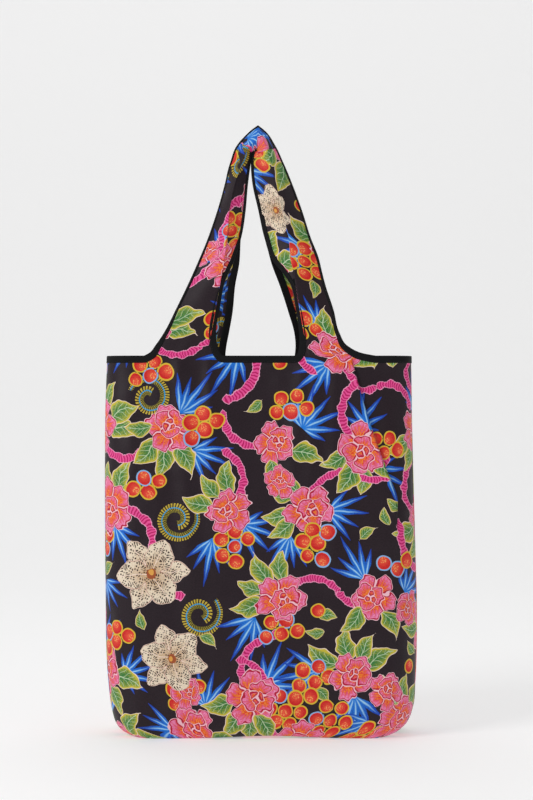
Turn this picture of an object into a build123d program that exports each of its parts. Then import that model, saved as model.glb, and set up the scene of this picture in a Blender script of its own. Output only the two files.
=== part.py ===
"""Foldable tote bag: a thin woven shopper with cut-in-one straps, taped edges and a stow pouch inside.

Millimetres. The origin is the centre of the base where it rests, +Z is up, X runs along the width and the
front faces -Y. Cloth is drawn CLOTH thick so that it is a solid. The two straps of each side meet at the top,
and each side's handle turns about the line where its straps leave the rim.
"""

import math
import os

from build123d import *

# Driving dimensions of the bag.
RIM_Z = 486.0
CLOTH = 1.0
BASE_Z = CLOTH
TAPE = 0.8
TAPE_WIDTH = 8.0
EASE = 0.15
NECK_HALF = 44.0
SHOULDER_HALF = 150.0

# Height, half width, half depth and corner radius of the standing bag, from the base to the rim.
LEVELS = (
    (0.0, 164.0, 49.0, 28.0),
    (12.0, 182.0, 56.0, 36.0),
    (34.0, 191.0, 62.0, 42.0),
    (70.0, 197.0, 66.0, 46.0),
    (130.0, 200.0, 67.0, 46.0),
    (250.0, 201.0, 64.0, 44.0),
    (370.0, 200.0, 56.0, 40.0),
    (RIM_Z, 198.0, 42.0, 32.0),
)
OVER_RIM = 6.0
# How far round each corner the seam lies, in degrees forward of the bag's side.
SEAM_TURN = math.radians(15)

# The four straps from the rim to the top: outer edge, fold and inner edge. Each point is how far it lies
# outwards from the middle, how far in front of the middle, and its height. The top leans a little left.
STRAPS = {
    "front_left": (
        ((148.0, 42.0, 488.5), (70.0, 42.0, 488.5), (48.0, 42.0, 488.5)),
        ((132.0, 42.0, 492.0), (68.0, 42.5, 491.0), (51.0, 42.0, 491.5)),
        ((122.0, 41.0, 502.0), (66.0, 43.0, 500.0), (55.0, 42.0, 502.0)),
        ((112.0, 39.0, 520.0), (62.0, 42.0, 518.0), (57.0, 40.0, 520.0)),
        ((99.0, 35.0, 548.0), (56.0, 40.0, 546.0), (52.5, 37.0, 548.0)),
        ((88.0, 28.0, 581.0), (50.0, 37.5, 581.0), (45.5, 31.0, 583.0)),
        ((76.0, 23.0, 612.0), (45.0, 34.5, 612.0), (33.5, 25.0, 612.0)),
        ((65.0, 17.0, 642.0), (41.5, 31.0, 643.0), (23.5, 18.0, 644.0)),
        ((53.5, 10.0, 679.0), (39.0, 28.0, 677.0), (18.5, 14.0, 676.0)),
        ((44.5, 6.0, 712.0), (32.0, 25.0, 711.0), (16.0, 12.0, 710.0)),
        ((37.0, 4.0, 740.0), (22.5, 21.5, 737.0), (12.5, 11.0, 733.0)),
        ((27.0, 3.0, 763.0), (15.0, 19.0, 755.0), (11.0, 10.0, 745.0)),
        ((13.0, 3.0, 780.0), (9.0, 17.0, 764.0), (8.0, 9.5, 750.0)),
        ((2.9, 3.0, 788.0), (2.9, 16.0, 769.0), (2.9, 9.0, 751.0)),
    ),
    "front_right": (
        ((148.0, 42.0, 488.5), (64.0, 42.0, 488.5), (46.0, 42.0, 488.5)),
        ((131.0, 42.0, 491.5), (62.0, 42.5, 491.0), (48.5, 42.0, 491.5)),
        ((117.0, 41.0, 500.0), (60.0, 43.0, 500.0), (51.0, 42.0, 501.0)),
        ((106.0, 39.0, 518.0), (56.0, 42.0, 518.0), (50.5, 40.0, 520.0)),
        ((98.0, 35.0, 546.0), (51.0, 40.0, 546.0), (47.0, 37.0, 548.0)),
        ((85.0, 28.0, 581.0), (45.5, 37.0, 581.0), (39.0, 31.5, 582.0)),
        ((80.5, 25.5, 597.0), (43.0, 36.0, 597.0), (29.0, 27.0, 597.0)),
        ((76.0, 23.0, 614.0), (40.0, 34.0, 612.0), (17.0, 22.0, 612.0)),
        ((64.5, 17.0, 642.0), (37.0, 31.0, 642.0), (6.5, 16.0, 642.0)),
        ((53.0, 10.0, 679.0), (28.5, 28.0, 677.0), (-1.5, 13.5, 678.0)),
        ((41.0, 6.0, 712.0), (21.0, 25.0, 711.0), (-7.5, 12.0, 710.0)),
        ((29.5, 4.0, 740.0), (13.0, 21.5, 741.0), (-9.0, 11.0, 735.0)),
        ((17.5, 3.0, 762.0), (8.0, 19.0, 758.0), (-8.0, 10.5, 745.0)),
        ((6.0, 3.0, 779.0), (3.0, 17.0, 767.0), (-5.5, 9.8, 750.5)),
        ((-2.3, 3.0, 788.0), (-2.3, 16.0, 769.0), (-2.3, 9.0, 751.0)),
    ),
    "back_left": (
        ((138.0, 42.0, 488.5), (64.0, 42.0, 488.5), (46.0, 42.0, 488.5)),
        ((122.0, 42.0, 492.0), (62.0, 42.5, 491.0), (46.5, 42.0, 491.5)),
        ((112.0, 41.0, 502.0), (60.0, 43.0, 500.0), (45.5, 42.0, 502.0)),
        ((102.0, 39.0, 520.0), (56.0, 42.0, 518.0), (42.0, 40.0, 520.0)),
        ((90.0, 35.0, 548.0), (50.0, 40.0, 546.0), (37.0, 37.0, 548.0)),
        ((79.0, 28.0, 581.0), (45.0, 37.0, 581.0), (33.5, 31.0, 583.0)),
        ((67.0, 23.0, 612.0), (39.0, 34.0, 612.0), (26.5, 25.0, 612.0)),
        ((57.0, 17.0, 642.0), (35.0, 31.0, 643.0), (20.0, 18.0, 644.0)),
        ((47.0, 10.0, 679.0), (31.0, 28.0, 677.0), (16.0, 14.0, 676.0)),
        ((39.0, 6.0, 712.0), (26.0, 25.0, 711.0), (13.5, 12.0, 710.0)),
        ((32.0, 4.0, 738.0), (19.0, 21.5, 735.0), (11.0, 11.0, 731.0)),
        ((23.0, 3.0, 760.0), (13.0, 19.0, 752.0), (9.5, 10.0, 743.0)),
        ((11.0, 3.0, 776.0), (8.0, 17.0, 761.0), (7.5, 9.5, 748.0)),
        ((2.9, 3.0, 784.0), (2.9, 16.0, 766.0), (2.9, 9.0, 749.0)),
    ),
    "back_right": (
        ((138.0, 42.0, 488.5), (60.0, 42.0, 488.5), (46.0, 42.0, 488.5)),
        ((122.0, 42.0, 492.0), (58.0, 42.5, 491.0), (46.5, 42.0, 491.5)),
        ((112.0, 41.0, 502.0), (56.5, 43.0, 500.0), (47.5, 42.0, 502.0)),
        ((101.0, 39.0, 520.0), (53.0, 42.0, 518.0), (46.0, 40.0, 520.0)),
        ((90.0, 35.0, 548.0), (48.0, 40.0, 546.0), (38.0, 37.0, 548.0)),
        ((77.0, 28.0, 581.0), (42.0, 37.0, 581.0), (26.5, 31.0, 583.0)),
        ((67.0, 23.0, 612.0), (36.0, 34.0, 612.0), (15.5, 24.0, 612.0)),
        ((56.0, 17.0, 642.0), (31.0, 31.0, 642.0), (8.0, 17.0, 642.0)),
        ((45.0, 10.0, 679.0), (24.0, 28.0, 677.0), (0.0, 13.5, 678.0)),
        ((34.0, 6.0, 712.0), (17.0, 25.0, 711.0), (-6.0, 12.0, 710.0)),
        ((25.0, 4.0, 738.0), (11.0, 21.5, 739.0), (-8.0, 11.0, 735.0)),
        ((15.0, 3.0, 758.0), (6.0, 19.0, 754.0), (-7.0, 10.5, 744.0)),
        ((4.5, 3.0, 775.0), (2.0, 17.0, 763.0), (-5.0, 9.8, 749.0)),
        ((-2.3, 3.0, 784.0), (-2.3, 16.0, 766.0), (-2.3, 9.0, 749.0)),
    ),
}
TOP_PATCH_CUTS = 2

# The stow pouch, hung inside the back panel, and its press stud.
POUCH_HALF = 60.0
POUCH_DEPTH = 12.0
POUCH_BACK_Y = 40.0
POUCH_LOW = 316.0
POUCH_TOP = 454.0
LOOP_HALF = 9.0
LOOP_TOP = 477.0
FLAP_DROP = 42.0
FLAP_EDGE = 0.8
FLAP_HALF = 57.0
SNAP_DROP = 28.0
SNAP_RADIUS = 6.0
SNAP_HOLE = 3.9
STUD_RADIUS = 2.5
STUD_HEIGHT = 1.5
SNAP_PLATE = 0.8
SOCKET_HEIGHT = 1.8
POST_RADIUS = 4.5

# Seam tapes inside the corners, and the blank care label.
SEAM_WIDTH = 6.0
SEAM_LOW = 16.0
SEAM_HIGH = 474.0
LABEL_WIDTH = 28.0
LABEL_HEIGHT = 46.0
LABEL_THICK = 0.5
LABEL_LOW = 150.0

FRONT, BACK = -1, 1
LEFT, RIGHT = -1, 1


def save(name, shape):
    """Writes one node and prints its volume."""
    export_step(shape, f"parts/{name}.step")
    print(f"{name:26s} {shape.volume / 1000:9.2f} cm3  {len(shape.solids())} solid")


# ---- The body of the bag ---------------------------------------------------------------------------------


def bag_body(grow, low=0.0):
    """The bag's whole outside as one solid, moved outwards by grow, from low up past the rim."""
    faces = []
    for z, half_width, half_depth, corner in LEVELS:
        outline = RectangleRounded(2 * (half_width + grow), 2 * (half_depth + grow), corner + grow)
        faces.append(Plane.XY.offset(z) * outline)
    z, half_width, half_depth, corner = LEVELS[-1]
    outline = RectangleRounded(2 * (half_width + grow), 2 * (half_depth + grow), corner + grow)
    faces.append(Plane.XY.offset(z + OVER_RIM) * outline)
    body = loft(faces, ruled=True)
    return body & slab(low, RIM_Z + OVER_RIM)


def slab(low, high):
    """Everything between two heights."""
    middle = Pos(0, 0, (low + high) / 2)
    return middle * Box(600, 400, high - low)


def panel_wedge(side):
    """The part of space that the front or back panel takes, from seam to seam."""
    far = 200.0
    rise = far * math.tan(SEAM_TURN)
    faces = []
    for z, half_width, half_depth, corner in (*LEVELS, (RIM_Z + OVER_RIM, *LEVELS[-1][1:])):
        x, y = half_width - corner, half_depth - corner
        half = [(x, side * y), (x + far, side * (y + rise)), (x + far, side * (y + far))]
        other = [(-px, py) for px, py in reversed(half)]
        faces.append(Plane.XY.offset(z) * make_face(Polyline(*half, *other, close=True)))
    return loft(faces, ruled=True)


def build_body():
    """The five cloth panels: front, back, two gussets and the base."""
    cloth = bag_body(0) - bag_body(-CLOTH, CLOTH)
    sides = cloth & slab(BASE_Z, RIM_Z)
    front, back = panel_wedge(FRONT), panel_wedge(BACK)
    gussets = sides - front - back
    save("front_panel", sides & front)
    save("back_panel", sides & back)
    save("left_gusset", gussets & (Pos(-300, 0, 250) * Box(600, 400, 600)))
    save("right_gusset", gussets & (Pos(300, 0, 250) * Box(600, 400, 600)))
    save("base_panel", cloth & slab(0, BASE_Z))


def build_rim_tapes():
    """The folded tape over the rim, open below so that the cloth's edge sits in it."""
    outer = bag_body(TAPE + EASE) - bag_body(-CLOTH - TAPE - EASE)
    tape = outer & slab(RIM_Z - TAPE_WIDTH, RIM_Z + TAPE + EASE)
    groove = (bag_body(EASE) - bag_body(-CLOTH - EASE)) & slab(0, RIM_Z + EASE)
    tape = tape - groove
    for name, side in (("front_neck_binding", FRONT), ("back_neck_binding", BACK)):
        save(name, tape & (Pos(0, side * 100, RIM_Z) * Box(2 * NECK_HALF, 200, 60)))
    for name, side in (("left_armhole_binding", LEFT), ("right_armhole_binding", RIGHT)):
        save(name, tape & (Pos(side * (SHOULDER_HALF + 100), 0, RIM_Z) * Box(200, 300, 60)))


def seam_line(side_x, side_y, inset):
    """Points up one corner seam, inset inside the body, with the direction out of the bag."""
    levels = [level for level in LEVELS if SEAM_LOW < level[0] < SEAM_HIGH]
    outwards = Vector(side_x * math.cos(SEAM_TURN), side_y * math.sin(SEAM_TURN), 0)
    points = []
    for z, half_width, half_depth, corner in (level_at(SEAM_LOW), *levels, level_at(SEAM_HIGH)):
        centre = Vector(side_x * (half_width - corner), side_y * (half_depth - corner), z)
        points.append(centre + outwards * (corner - inset))
    return points, outwards


def level_at(height):
    """The body's half width, half depth and corner radius at a height between two levels."""
    for below, above in zip(LEVELS, LEVELS[1:]):
        if below[0] <= height <= above[0]:
            share = (height - below[0]) / (above[0] - below[0])
            return tuple(a + share * (b - a) for a, b in zip(below, above))
    return LEVELS[-1]


def build_seam_tapes():
    """Bound seam allowances that stand inwards from the four corner seams, and the one round the base."""
    inset = CLOTH + EASE + 0.4
    for name_y, side_y in (("front", FRONT), ("back", BACK)):
        for name_x, side_x in (("left", LEFT), ("right", RIGHT)):
            points, outwards = seam_line(side_x, side_y, inset)
            half = Vector(-outwards.Y, outwards.X, 0) * (TAPE / 2)
            deep = outwards * SEAM_WIDTH
            wires = []
            for point in points:
                corners = [point + half, point - deep + half, point - deep - half, point - half]
                wires.append(Wire.make_polygon(corners))
            save(f"{name_y}_{name_x}_seam_tape", Solid.make_loft(wires, ruled=True))
    ring = bag_body(-CLOTH - EASE) - bag_body(-CLOTH - EASE - TAPE)
    save("base_seam_tape", ring & slab(CLOTH + EASE, CLOTH + EASE + SEAM_WIDTH))


def build_label():
    """A blank care label sewn into the left gusset."""
    z, half_width, half_depth, corner = level_at(LABEL_LOW + LABEL_HEIGHT)
    x = -half_width + CLOTH + 2 * EASE + LABEL_THICK
    middle = Pos(x + 4 * EASE, 0, LABEL_LOW + LABEL_HEIGHT / 2)
    save("care_label", middle * Box(LABEL_THICK, LABEL_WIDTH, LABEL_HEIGHT))


# ---- Straps and their edge tapes ---------------------------------------------------------------------------


class Station:
    """One crosswise cut of a strap: its two edges and its fold, with the directions square to the cloth."""

    def __init__(self, outer, fold, inner, along):
        self.outer, self.fold, self.inner = Vector(*outer), Vector(*fold), Vector(*inner)
        self.to_fold = (self.fold - self.outer).normalized()
        self.to_inner = (self.inner - self.fold).normalized()
        level = abs(outer[2] - fold[2]) + abs(outer[2] - inner[2]) < 1e-6
        if level:
            normal = Vector(0, 0, 1)
        else:
            normal = (self.fold - self.outer).cross(self.inner - self.outer).normalized()
        if normal.dot(along) < 0:
            normal = normal * -1
        self.outer_side = normal.cross(self.to_fold)
        self.inner_side = normal.cross(self.to_inner)
        both = self.outer_side + self.inner_side
        self.fold_side = both * (1 / (1 + self.outer_side.dot(self.inner_side)))

    def strap(self):
        """The strap's own outline."""
        half = CLOTH / 2
        near = [
            self.outer + self.outer_side * half,
            self.fold + self.fold_side * half,
            self.inner + self.inner_side * half,
        ]
        far = [
            self.inner - self.inner_side * half,
            self.fold - self.fold_side * half,
            self.outer - self.outer_side * half,
        ]
        return near + far

    def tape(self, edge, inwards, side, width):
        """The outline of a tape folded over an edge."""
        deep = CLOTH / 2 + EASE
        tip = edge + inwards * width
        lip = edge - inwards * EASE
        nose = edge - inwards * (EASE + TAPE)
        return [
            tip + side * (deep + TAPE),
            nose + side * (deep + TAPE),
            nose - side * (deep + TAPE),
            tip - side * (deep + TAPE),
            tip - side * deep,
            lip - side * deep,
            lip + side * deep,
            tip + side * deep,
        ]

    def outer_tape(self):
        return self.tape(self.outer, self.to_fold, self.outer_side, TAPE_WIDTH)

    def inner_tape(self):
        room = (self.inner - self.fold).length
        width = min(TAPE_WIDTH, 0.72 * room)
        return self.tape(self.inner, self.to_inner * -1, self.inner_side, width)

    def patch(self):
        """The outline of the lap patch on the strap's front, clear of both tapes."""
        near, far = CLOTH / 2 + EASE, CLOTH / 2 + EASE + TAPE
        high = self.outer + self.to_fold * (TAPE_WIDTH + 1)
        low = self.inner - self.to_inner * (TAPE_WIDTH + 1)
        over = [
            high + self.outer_side * far,
            self.fold + self.fold_side * far,
            low + self.inner_side * far,
        ]
        under = [
            low + self.inner_side * near,
            self.fold + self.fold_side * near,
            high + self.outer_side * near,
        ]
        return over + under


def stations(strap, side_y):
    """The cuts of a strap, drawn as if it were a left one."""
    rows = [[(-out, side_y * ahead, z) for out, ahead, z in row] for row in STRAPS[strap]]
    cuts = []
    for index, row in enumerate(rows):
        before, after = rows[max(index - 1, 0)], rows[min(index + 1, len(rows) - 1)]
        along = Vector(*after[1]) - Vector(*before[1])
        cuts.append(Station(*row, along))
    return cuts


def skin(outlines):
    return Solid.make_loft([Wire.make_polygon(points) for points in outlines], ruled=True)


def flipped(outline):
    """The same outline on the right half, taken in the order that keeps the loft untwisted."""
    return [Vector(-p.X, p.Y, p.Z) for p in outline]


def over_the_top(left, right):
    """A tape that runs up the left strap, over the top and down the right one, as one piece."""
    return skin(left + [flipped(outline) for outline in reversed(right)])


def build_handle(name, side_y):
    left, right = stations(f"{name}_left", side_y), stations(f"{name}_right", side_y)
    save(f"{name}_strap_left", skin([cut.strap() for cut in left]))
    save(f"{name}_strap_right", skin([flipped(cut.strap()) for cut in right]))
    outer = over_the_top([cut.outer_tape() for cut in left], [cut.outer_tape() for cut in right])
    save(f"{name}_outer_binding", outer)
    inner = over_the_top([cut.inner_tape() for cut in left], [cut.inner_tape() for cut in right])
    save(f"{name}_inner_binding", inner)
    ends = left[-TOP_PATCH_CUTS:], right[-TOP_PATCH_CUTS:]
    save(f"{name}_top_seam", over_the_top(*[[cut.patch() for cut in end] for end in ends]))


# ---- The stow pouch ----------------------------------------------------------------------------------------


def build_pouch():
    """A flat bag of the same cloth that the tote folds into, on a loop of tape."""
    front_y = POUCH_BACK_Y - POUCH_DEPTH
    height = POUCH_TOP - POUCH_LOW
    middle_z = (POUCH_TOP + POUCH_LOW) / 2
    outside = Pos(0, front_y + (POUCH_DEPTH - CLOTH) / 2, middle_z) * Box(
        2 * POUCH_HALF, POUCH_DEPTH - CLOTH, height
    )
    outside = fillet(outside.edges().filter_by(Axis.Y).group_by(Axis.Z)[0], 10)
    hollow = Pos(0, front_y + CLOTH + POUCH_DEPTH / 2, middle_z + CLOTH) * Box(
        2 * (POUCH_HALF - CLOTH), POUCH_DEPTH, height
    )
    hollow = fillet(hollow.edges().filter_by(Axis.Y).group_by(Axis.Z)[0], 10 - CLOTH)
    save("pouch_front", outside - hollow)
    back = Pos(0, POUCH_BACK_Y - CLOTH / 2, middle_z) * Box(2 * POUCH_HALF, CLOTH, height)
    save("pouch_back", fillet(back.edges().filter_by(Axis.Y).group_by(Axis.Z)[0], 10))

    loop_low = POUCH_TOP - 12
    loop = Pos(0, POUCH_BACK_Y + EASE + TAPE / 2, (LOOP_TOP + loop_low) / 2) * Box(
        2 * LOOP_HALF, TAPE, LOOP_TOP - loop_low
    )
    save("pouch_loop", loop)


def build_flap():
    """The pouch's flap, over its top and down its front, with the cap and socket of the press stud."""
    front_y = POUCH_BACK_Y - POUCH_DEPTH
    face_y = front_y - SNAP_PLATE - SOCKET_HEIGHT - EASE
    edge_y = POUCH_BACK_Y - FLAP_EDGE
    over = Pos(0, (edge_y + face_y) / 2, POUCH_TOP + EASE * 2 + CLOTH / 2) * Box(
        2 * FLAP_HALF, edge_y - face_y, CLOTH
    )
    down = Pos(0, face_y - CLOTH / 2, POUCH_TOP + EASE * 2 + CLOTH - FLAP_DROP / 2) * Box(
        2 * FLAP_HALF, CLOTH, FLAP_DROP
    )
    down = fillet(down.edges().filter_by(Axis.Y).group_by(Axis.Z)[0], 14)
    save("pouch_flap", over + down)

    snap_z = POUCH_TOP - SNAP_DROP
    towards_front = Plane((0, 0, snap_z), x_dir=(1, 0, 0), z_dir=(0, -1, 0))
    plate = extrude(towards_front.offset(-front_y) * Circle(SNAP_RADIUS - 0.5), SNAP_PLATE)
    ball = extrude(towards_front.offset(SNAP_PLATE - front_y) * Circle(STUD_RADIUS), STUD_HEIGHT)
    save("snap_stud", plate + chamfer(ball.edges().group_by(Axis.Y)[0], 0.4))
    behind = towards_front.offset(-front_y - CLOTH - SNAP_PLATE)
    save("snap_post", extrude(behind * Circle(POST_RADIUS), SNAP_PLATE))
    ring = Circle(SNAP_RADIUS) - Circle(SNAP_HOLE)
    save("snap_socket", extrude(towards_front.offset(-face_y - SOCKET_HEIGHT) * ring, SOCKET_HEIGHT))
    cap = extrude(towards_front.offset(CLOTH - face_y) * Circle(SNAP_RADIUS + 0.5), 1.4)
    save("snap_cap", fillet(cap.edges().group_by(Axis.Y)[0], 0.9))


os.makedirs("parts", exist_ok=True)
build_body()
build_rim_tapes()
build_seam_tapes()
build_label()
build_handle("front", FRONT)
build_handle("back", BACK)
build_pouch()
build_flap()
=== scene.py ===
import math
from collections import namedtuple

import bmesh
import bpy
import numpy as np
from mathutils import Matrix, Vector
from mathutils.bvhtree import BVHTree
from mathutils.noise import noise


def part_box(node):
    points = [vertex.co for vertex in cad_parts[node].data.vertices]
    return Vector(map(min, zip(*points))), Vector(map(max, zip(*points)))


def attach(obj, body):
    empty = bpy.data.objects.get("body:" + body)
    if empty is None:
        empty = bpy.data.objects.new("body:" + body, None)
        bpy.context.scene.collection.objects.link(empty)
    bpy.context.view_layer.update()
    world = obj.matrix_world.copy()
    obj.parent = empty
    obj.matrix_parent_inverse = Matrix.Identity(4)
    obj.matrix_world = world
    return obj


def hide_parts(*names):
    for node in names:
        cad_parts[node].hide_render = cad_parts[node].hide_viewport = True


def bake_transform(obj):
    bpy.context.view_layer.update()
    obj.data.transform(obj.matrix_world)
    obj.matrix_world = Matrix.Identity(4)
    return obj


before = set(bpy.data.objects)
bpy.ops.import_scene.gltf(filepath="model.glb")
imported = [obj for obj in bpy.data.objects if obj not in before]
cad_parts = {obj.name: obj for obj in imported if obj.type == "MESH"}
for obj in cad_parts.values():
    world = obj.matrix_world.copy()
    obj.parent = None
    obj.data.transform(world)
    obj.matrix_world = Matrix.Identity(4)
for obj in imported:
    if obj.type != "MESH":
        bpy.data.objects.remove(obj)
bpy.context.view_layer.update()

# ---- Where the bag is seen from, and the room ----------------------------------------------------
# A level camera a little under the rim, a long way off, in front of a pale sweep of paper.
# A soft light stands to the left of the camera, a weaker one to the right and a wide one overhead.

camera = bpy.data.objects.new("camera", bpy.data.cameras.new("camera"))
camera.location = (0.0084, -2.7, 0.432)
camera.rotation_euler = (math.radians(90), 0, 0)
camera.data.sensor_width = 36
camera.data.lens = 93.5
bpy.context.scene.collection.objects.link(camera)
bpy.context.scene.camera = camera


def soft_light(name, place, size, power, aim=(0, 0, 0.35)):
    """A soft rectangular light that faces the middle of the bag."""
    light = bpy.data.lights.new(name, "AREA")
    light.shape = "RECTANGLE"
    light.size, light.size_y = size
    light.energy = power
    lamp = bpy.data.objects.new(name, light)
    lamp.location = place
    lamp.rotation_euler = (Vector(aim) - Vector(place)).to_track_quat("-Z", "Y").to_euler()
    bpy.context.scene.collection.objects.link(lamp)


soft_light("key_light", (-2.2, -2.0, 1.9), (1.3, 1.3), 42)
soft_light("fill_light", (2.4, -1.9, 1.2), (1.8, 1.8), 5)
soft_light("top_light", (0.2, 0.6, 3.0), (2.4, 2.4), 14)

room = bpy.data.worlds.new("room")
room.use_nodes = True
room.node_tree.nodes["Background"].inputs["Color"].default_value = (1.0, 1.0, 1.0, 1)
room.node_tree.nodes["Background"].inputs["Strength"].default_value = 0.4
bpy.context.scene.world = room
bpy.context.scene.view_settings.view_transform = "Standard"


def new_material(name):
    """A material with its node tree and its shader."""
    material = bpy.data.materials.new(name)
    material.use_nodes = True
    return material, material.node_tree, material.node_tree.nodes["Principled BSDF"]


paper, _, paper_shader = new_material("paper")
paper_shader.inputs["Base Color"].default_value = (0.7, 0.7, 0.7, 1)
paper_shader.inputs["Emission Color"].default_value = (1.0, 1.0, 1.0, 1)
paper_shader.inputs["Emission Strength"].default_value = 0.36
paper_shader.inputs["Roughness"].default_value = 0.9
paper_shader.inputs["Specular IOR Level"].default_value = 0.1


def paper_sweep():
    """Floor that curves up into a wall behind the bag."""
    far, bend_at, bend, top = 16.0, 1.8, 1.6, 6.0
    profile = [(-far, 0.0), (bend_at, 0.0)]
    for angle in np.linspace(0.1, math.pi / 2, 16):
        profile.append((bend_at + bend * math.sin(angle), bend - bend * math.cos(angle)))
    profile.append((bend_at + bend, top))
    mesh = bpy.data.meshes.new("paper_sweep")
    points = [(x, y, z) for y, z in profile for x in (-far, far)]
    faces = [(2 * i, 2 * i + 1, 2 * i + 3, 2 * i + 2) for i in range(len(profile) - 1)]
    mesh.from_pydata(points, [], faces)
    mesh.shade_smooth()
    mesh.materials.append(paper)
    sweep = bpy.data.objects.new("paper_sweep", mesh)
    bpy.context.scene.collection.objects.link(sweep)


paper_sweep()

# ---- Printed cloth -------------------------------------------------------------------------------
# Light woven polyester, dyed nearly black and printed all over with flowers, lilies, berries, leaves,
# ferns, twigs and palm fronds. Every figure is drawn in its own millimetres. A cloth piece carries, for
# each screen of the print, where each bit of its cloth lies in the figure printed there.


def dye(code):
    """A colour from its six-figure code, as the shaders want it."""
    parts = [int(code[i:i + 2], 16) / 255 for i in (0, 2, 4)]
    return tuple((c / 12.92 if c < 0.04045 else ((c + 0.055) / 1.055) ** 2.4) for c in parts) + (1.0,)


class Ink:
    """A number that varies over the cloth, made by shader maths."""

    def __init__(self, tree, socket):
        self.tree, self.socket = tree, socket

    def maths(self, operation, *others):
        node = self.tree.nodes.new("ShaderNodeMath")
        node.operation = operation
        for socket, value in zip(node.inputs, (self, *others)):
            if isinstance(value, Ink):
                self.tree.links.new(value.socket, socket)
            else:
                socket.default_value = value
        return Ink(self.tree, node.outputs[0])

    def __add__(self, other):
        return self.maths("ADD", other)

    def __sub__(self, other):
        return self.maths("SUBTRACT", other)

    def __mul__(self, other):
        return self.maths("MULTIPLY", other)

    def __truediv__(self, other):
        return self.maths("DIVIDE", other)

    def __lt__(self, other):
        return self.maths("LESS_THAN", other)

    def __gt__(self, other):
        return self.maths("GREATER_THAN", other)

    def __abs__(self):
        return self.maths("ABSOLUTE")

    def sine(self):
        return self.maths("SINE")

    def cosine(self):
        return self.maths("COSINE")

    def part(self):
        """What is left over a whole number."""
        return self.maths("FRACT")

    def nearest(self):
        return self.maths("ROUND")

    def power(self, exponent):
        return self.maths("POWER", exponent)

    def least(self, other):
        return self.maths("MINIMUM", other)

    def most(self, other):
        return self.maths("MAXIMUM", other)

    def ramp(self, low, high):
        """0 below low, 1 above high and a straight rise between."""
        node = self.tree.nodes.new("ShaderNodeMapRange")
        node.inputs["From Min"].default_value = low
        node.inputs["From Max"].default_value = high
        self.tree.links.new(self.socket, node.inputs["Value"])
        return Ink(self.tree, node.outputs["Result"])


def reach(x, y):
    """How far a point lies from the origin."""
    return (x * x + y * y).maths("SQRT")


def paint(tree, under, over, where):
    """Lays one colour over another. Each is a socket or a plain colour."""
    node = tree.nodes.new("ShaderNodeMix")
    node.data_type = "RGBA"
    a, b = [s for s in node.inputs if s.type == "RGBA"]
    for socket, value in ((a, under), (b, over)):
        if isinstance(value, tuple):
            socket.default_value = value
        else:
            tree.links.new(value, socket)
    tree.links.new(where.socket, node.inputs["Factor"])
    return next(s for s in node.outputs if s.type == "RGBA")


def flat_pattern(tree):
    """The flat pattern's place on the cloth, and how far across and how far up that is, in metres."""
    pattern = tree.nodes.new("ShaderNodeUVMap")
    pattern.uv_map = "flat"
    axes = tree.nodes.new("ShaderNodeSeparateXYZ")
    tree.links.new(pattern.outputs["UV"], axes.inputs[0])
    return pattern.outputs["UV"], Ink(tree, axes.outputs[0]), Ink(tree, axes.outputs[1])


def speckle(tree, place, scale, detail=2.0):
    """A noise texture laid over a place."""
    texture = tree.nodes.new("ShaderNodeTexNoise")
    texture.inputs["Scale"].default_value = scale
    texture.inputs["Detail"].default_value = detail
    tree.links.new(place, texture.inputs["Vector"])
    return texture


def emboss(tree, shader, height, strength, distance):
    """Raises and sinks the surface by a number that varies over it."""
    bump = tree.nodes.new("ShaderNodeBump")
    bump.inputs["Strength"].default_value = strength
    bump.inputs["Distance"].default_value = distance
    tree.links.new(height.socket, bump.inputs["Height"])
    tree.links.new(bump.outputs["Normal"], shader.inputs["Normal"])


def figure(name, draw, wander):
    """A node group that prints one kind of figure over the cloth's colour. draw gets the figure's own
    x and y in millimetres, its lot, a coarse and a fine mottle, and the colour under it."""
    tree = bpy.data.node_groups.new(name, "ShaderNodeTree")
    sockets = {"Place": "NodeSocketVector", "Mottle": "NodeSocketVector", "Under": "NodeSocketColor"}
    for label, kind in sockets.items():
        tree.interface.new_socket(label, in_out="INPUT", socket_type=kind)
    tree.interface.new_socket("Colour", in_out="OUTPUT", socket_type="NodeSocketColor")
    came, goes = tree.nodes.new("NodeGroupInput"), tree.nodes.new("NodeGroupOutput")
    place, mottle = tree.nodes.new("ShaderNodeSeparateXYZ"), tree.nodes.new("ShaderNodeSeparateXYZ")
    tree.links.new(came.outputs["Place"], place.inputs[0])
    tree.links.new(came.outputs["Mottle"], mottle.inputs[0])
    x, y, lot = [Ink(tree, place.outputs[i]) for i in range(3)]
    sway_x, sway_y, fine = [Ink(tree, mottle.outputs[i]) for i in range(3)]
    x, y = x + sway_x * wander, y + sway_y * wander
    colour = draw(tree, x, y, lot, sway_x, fine, came.outputs["Under"])
    tree.links.new(colour, goes.inputs["Colour"])
    return tree


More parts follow.
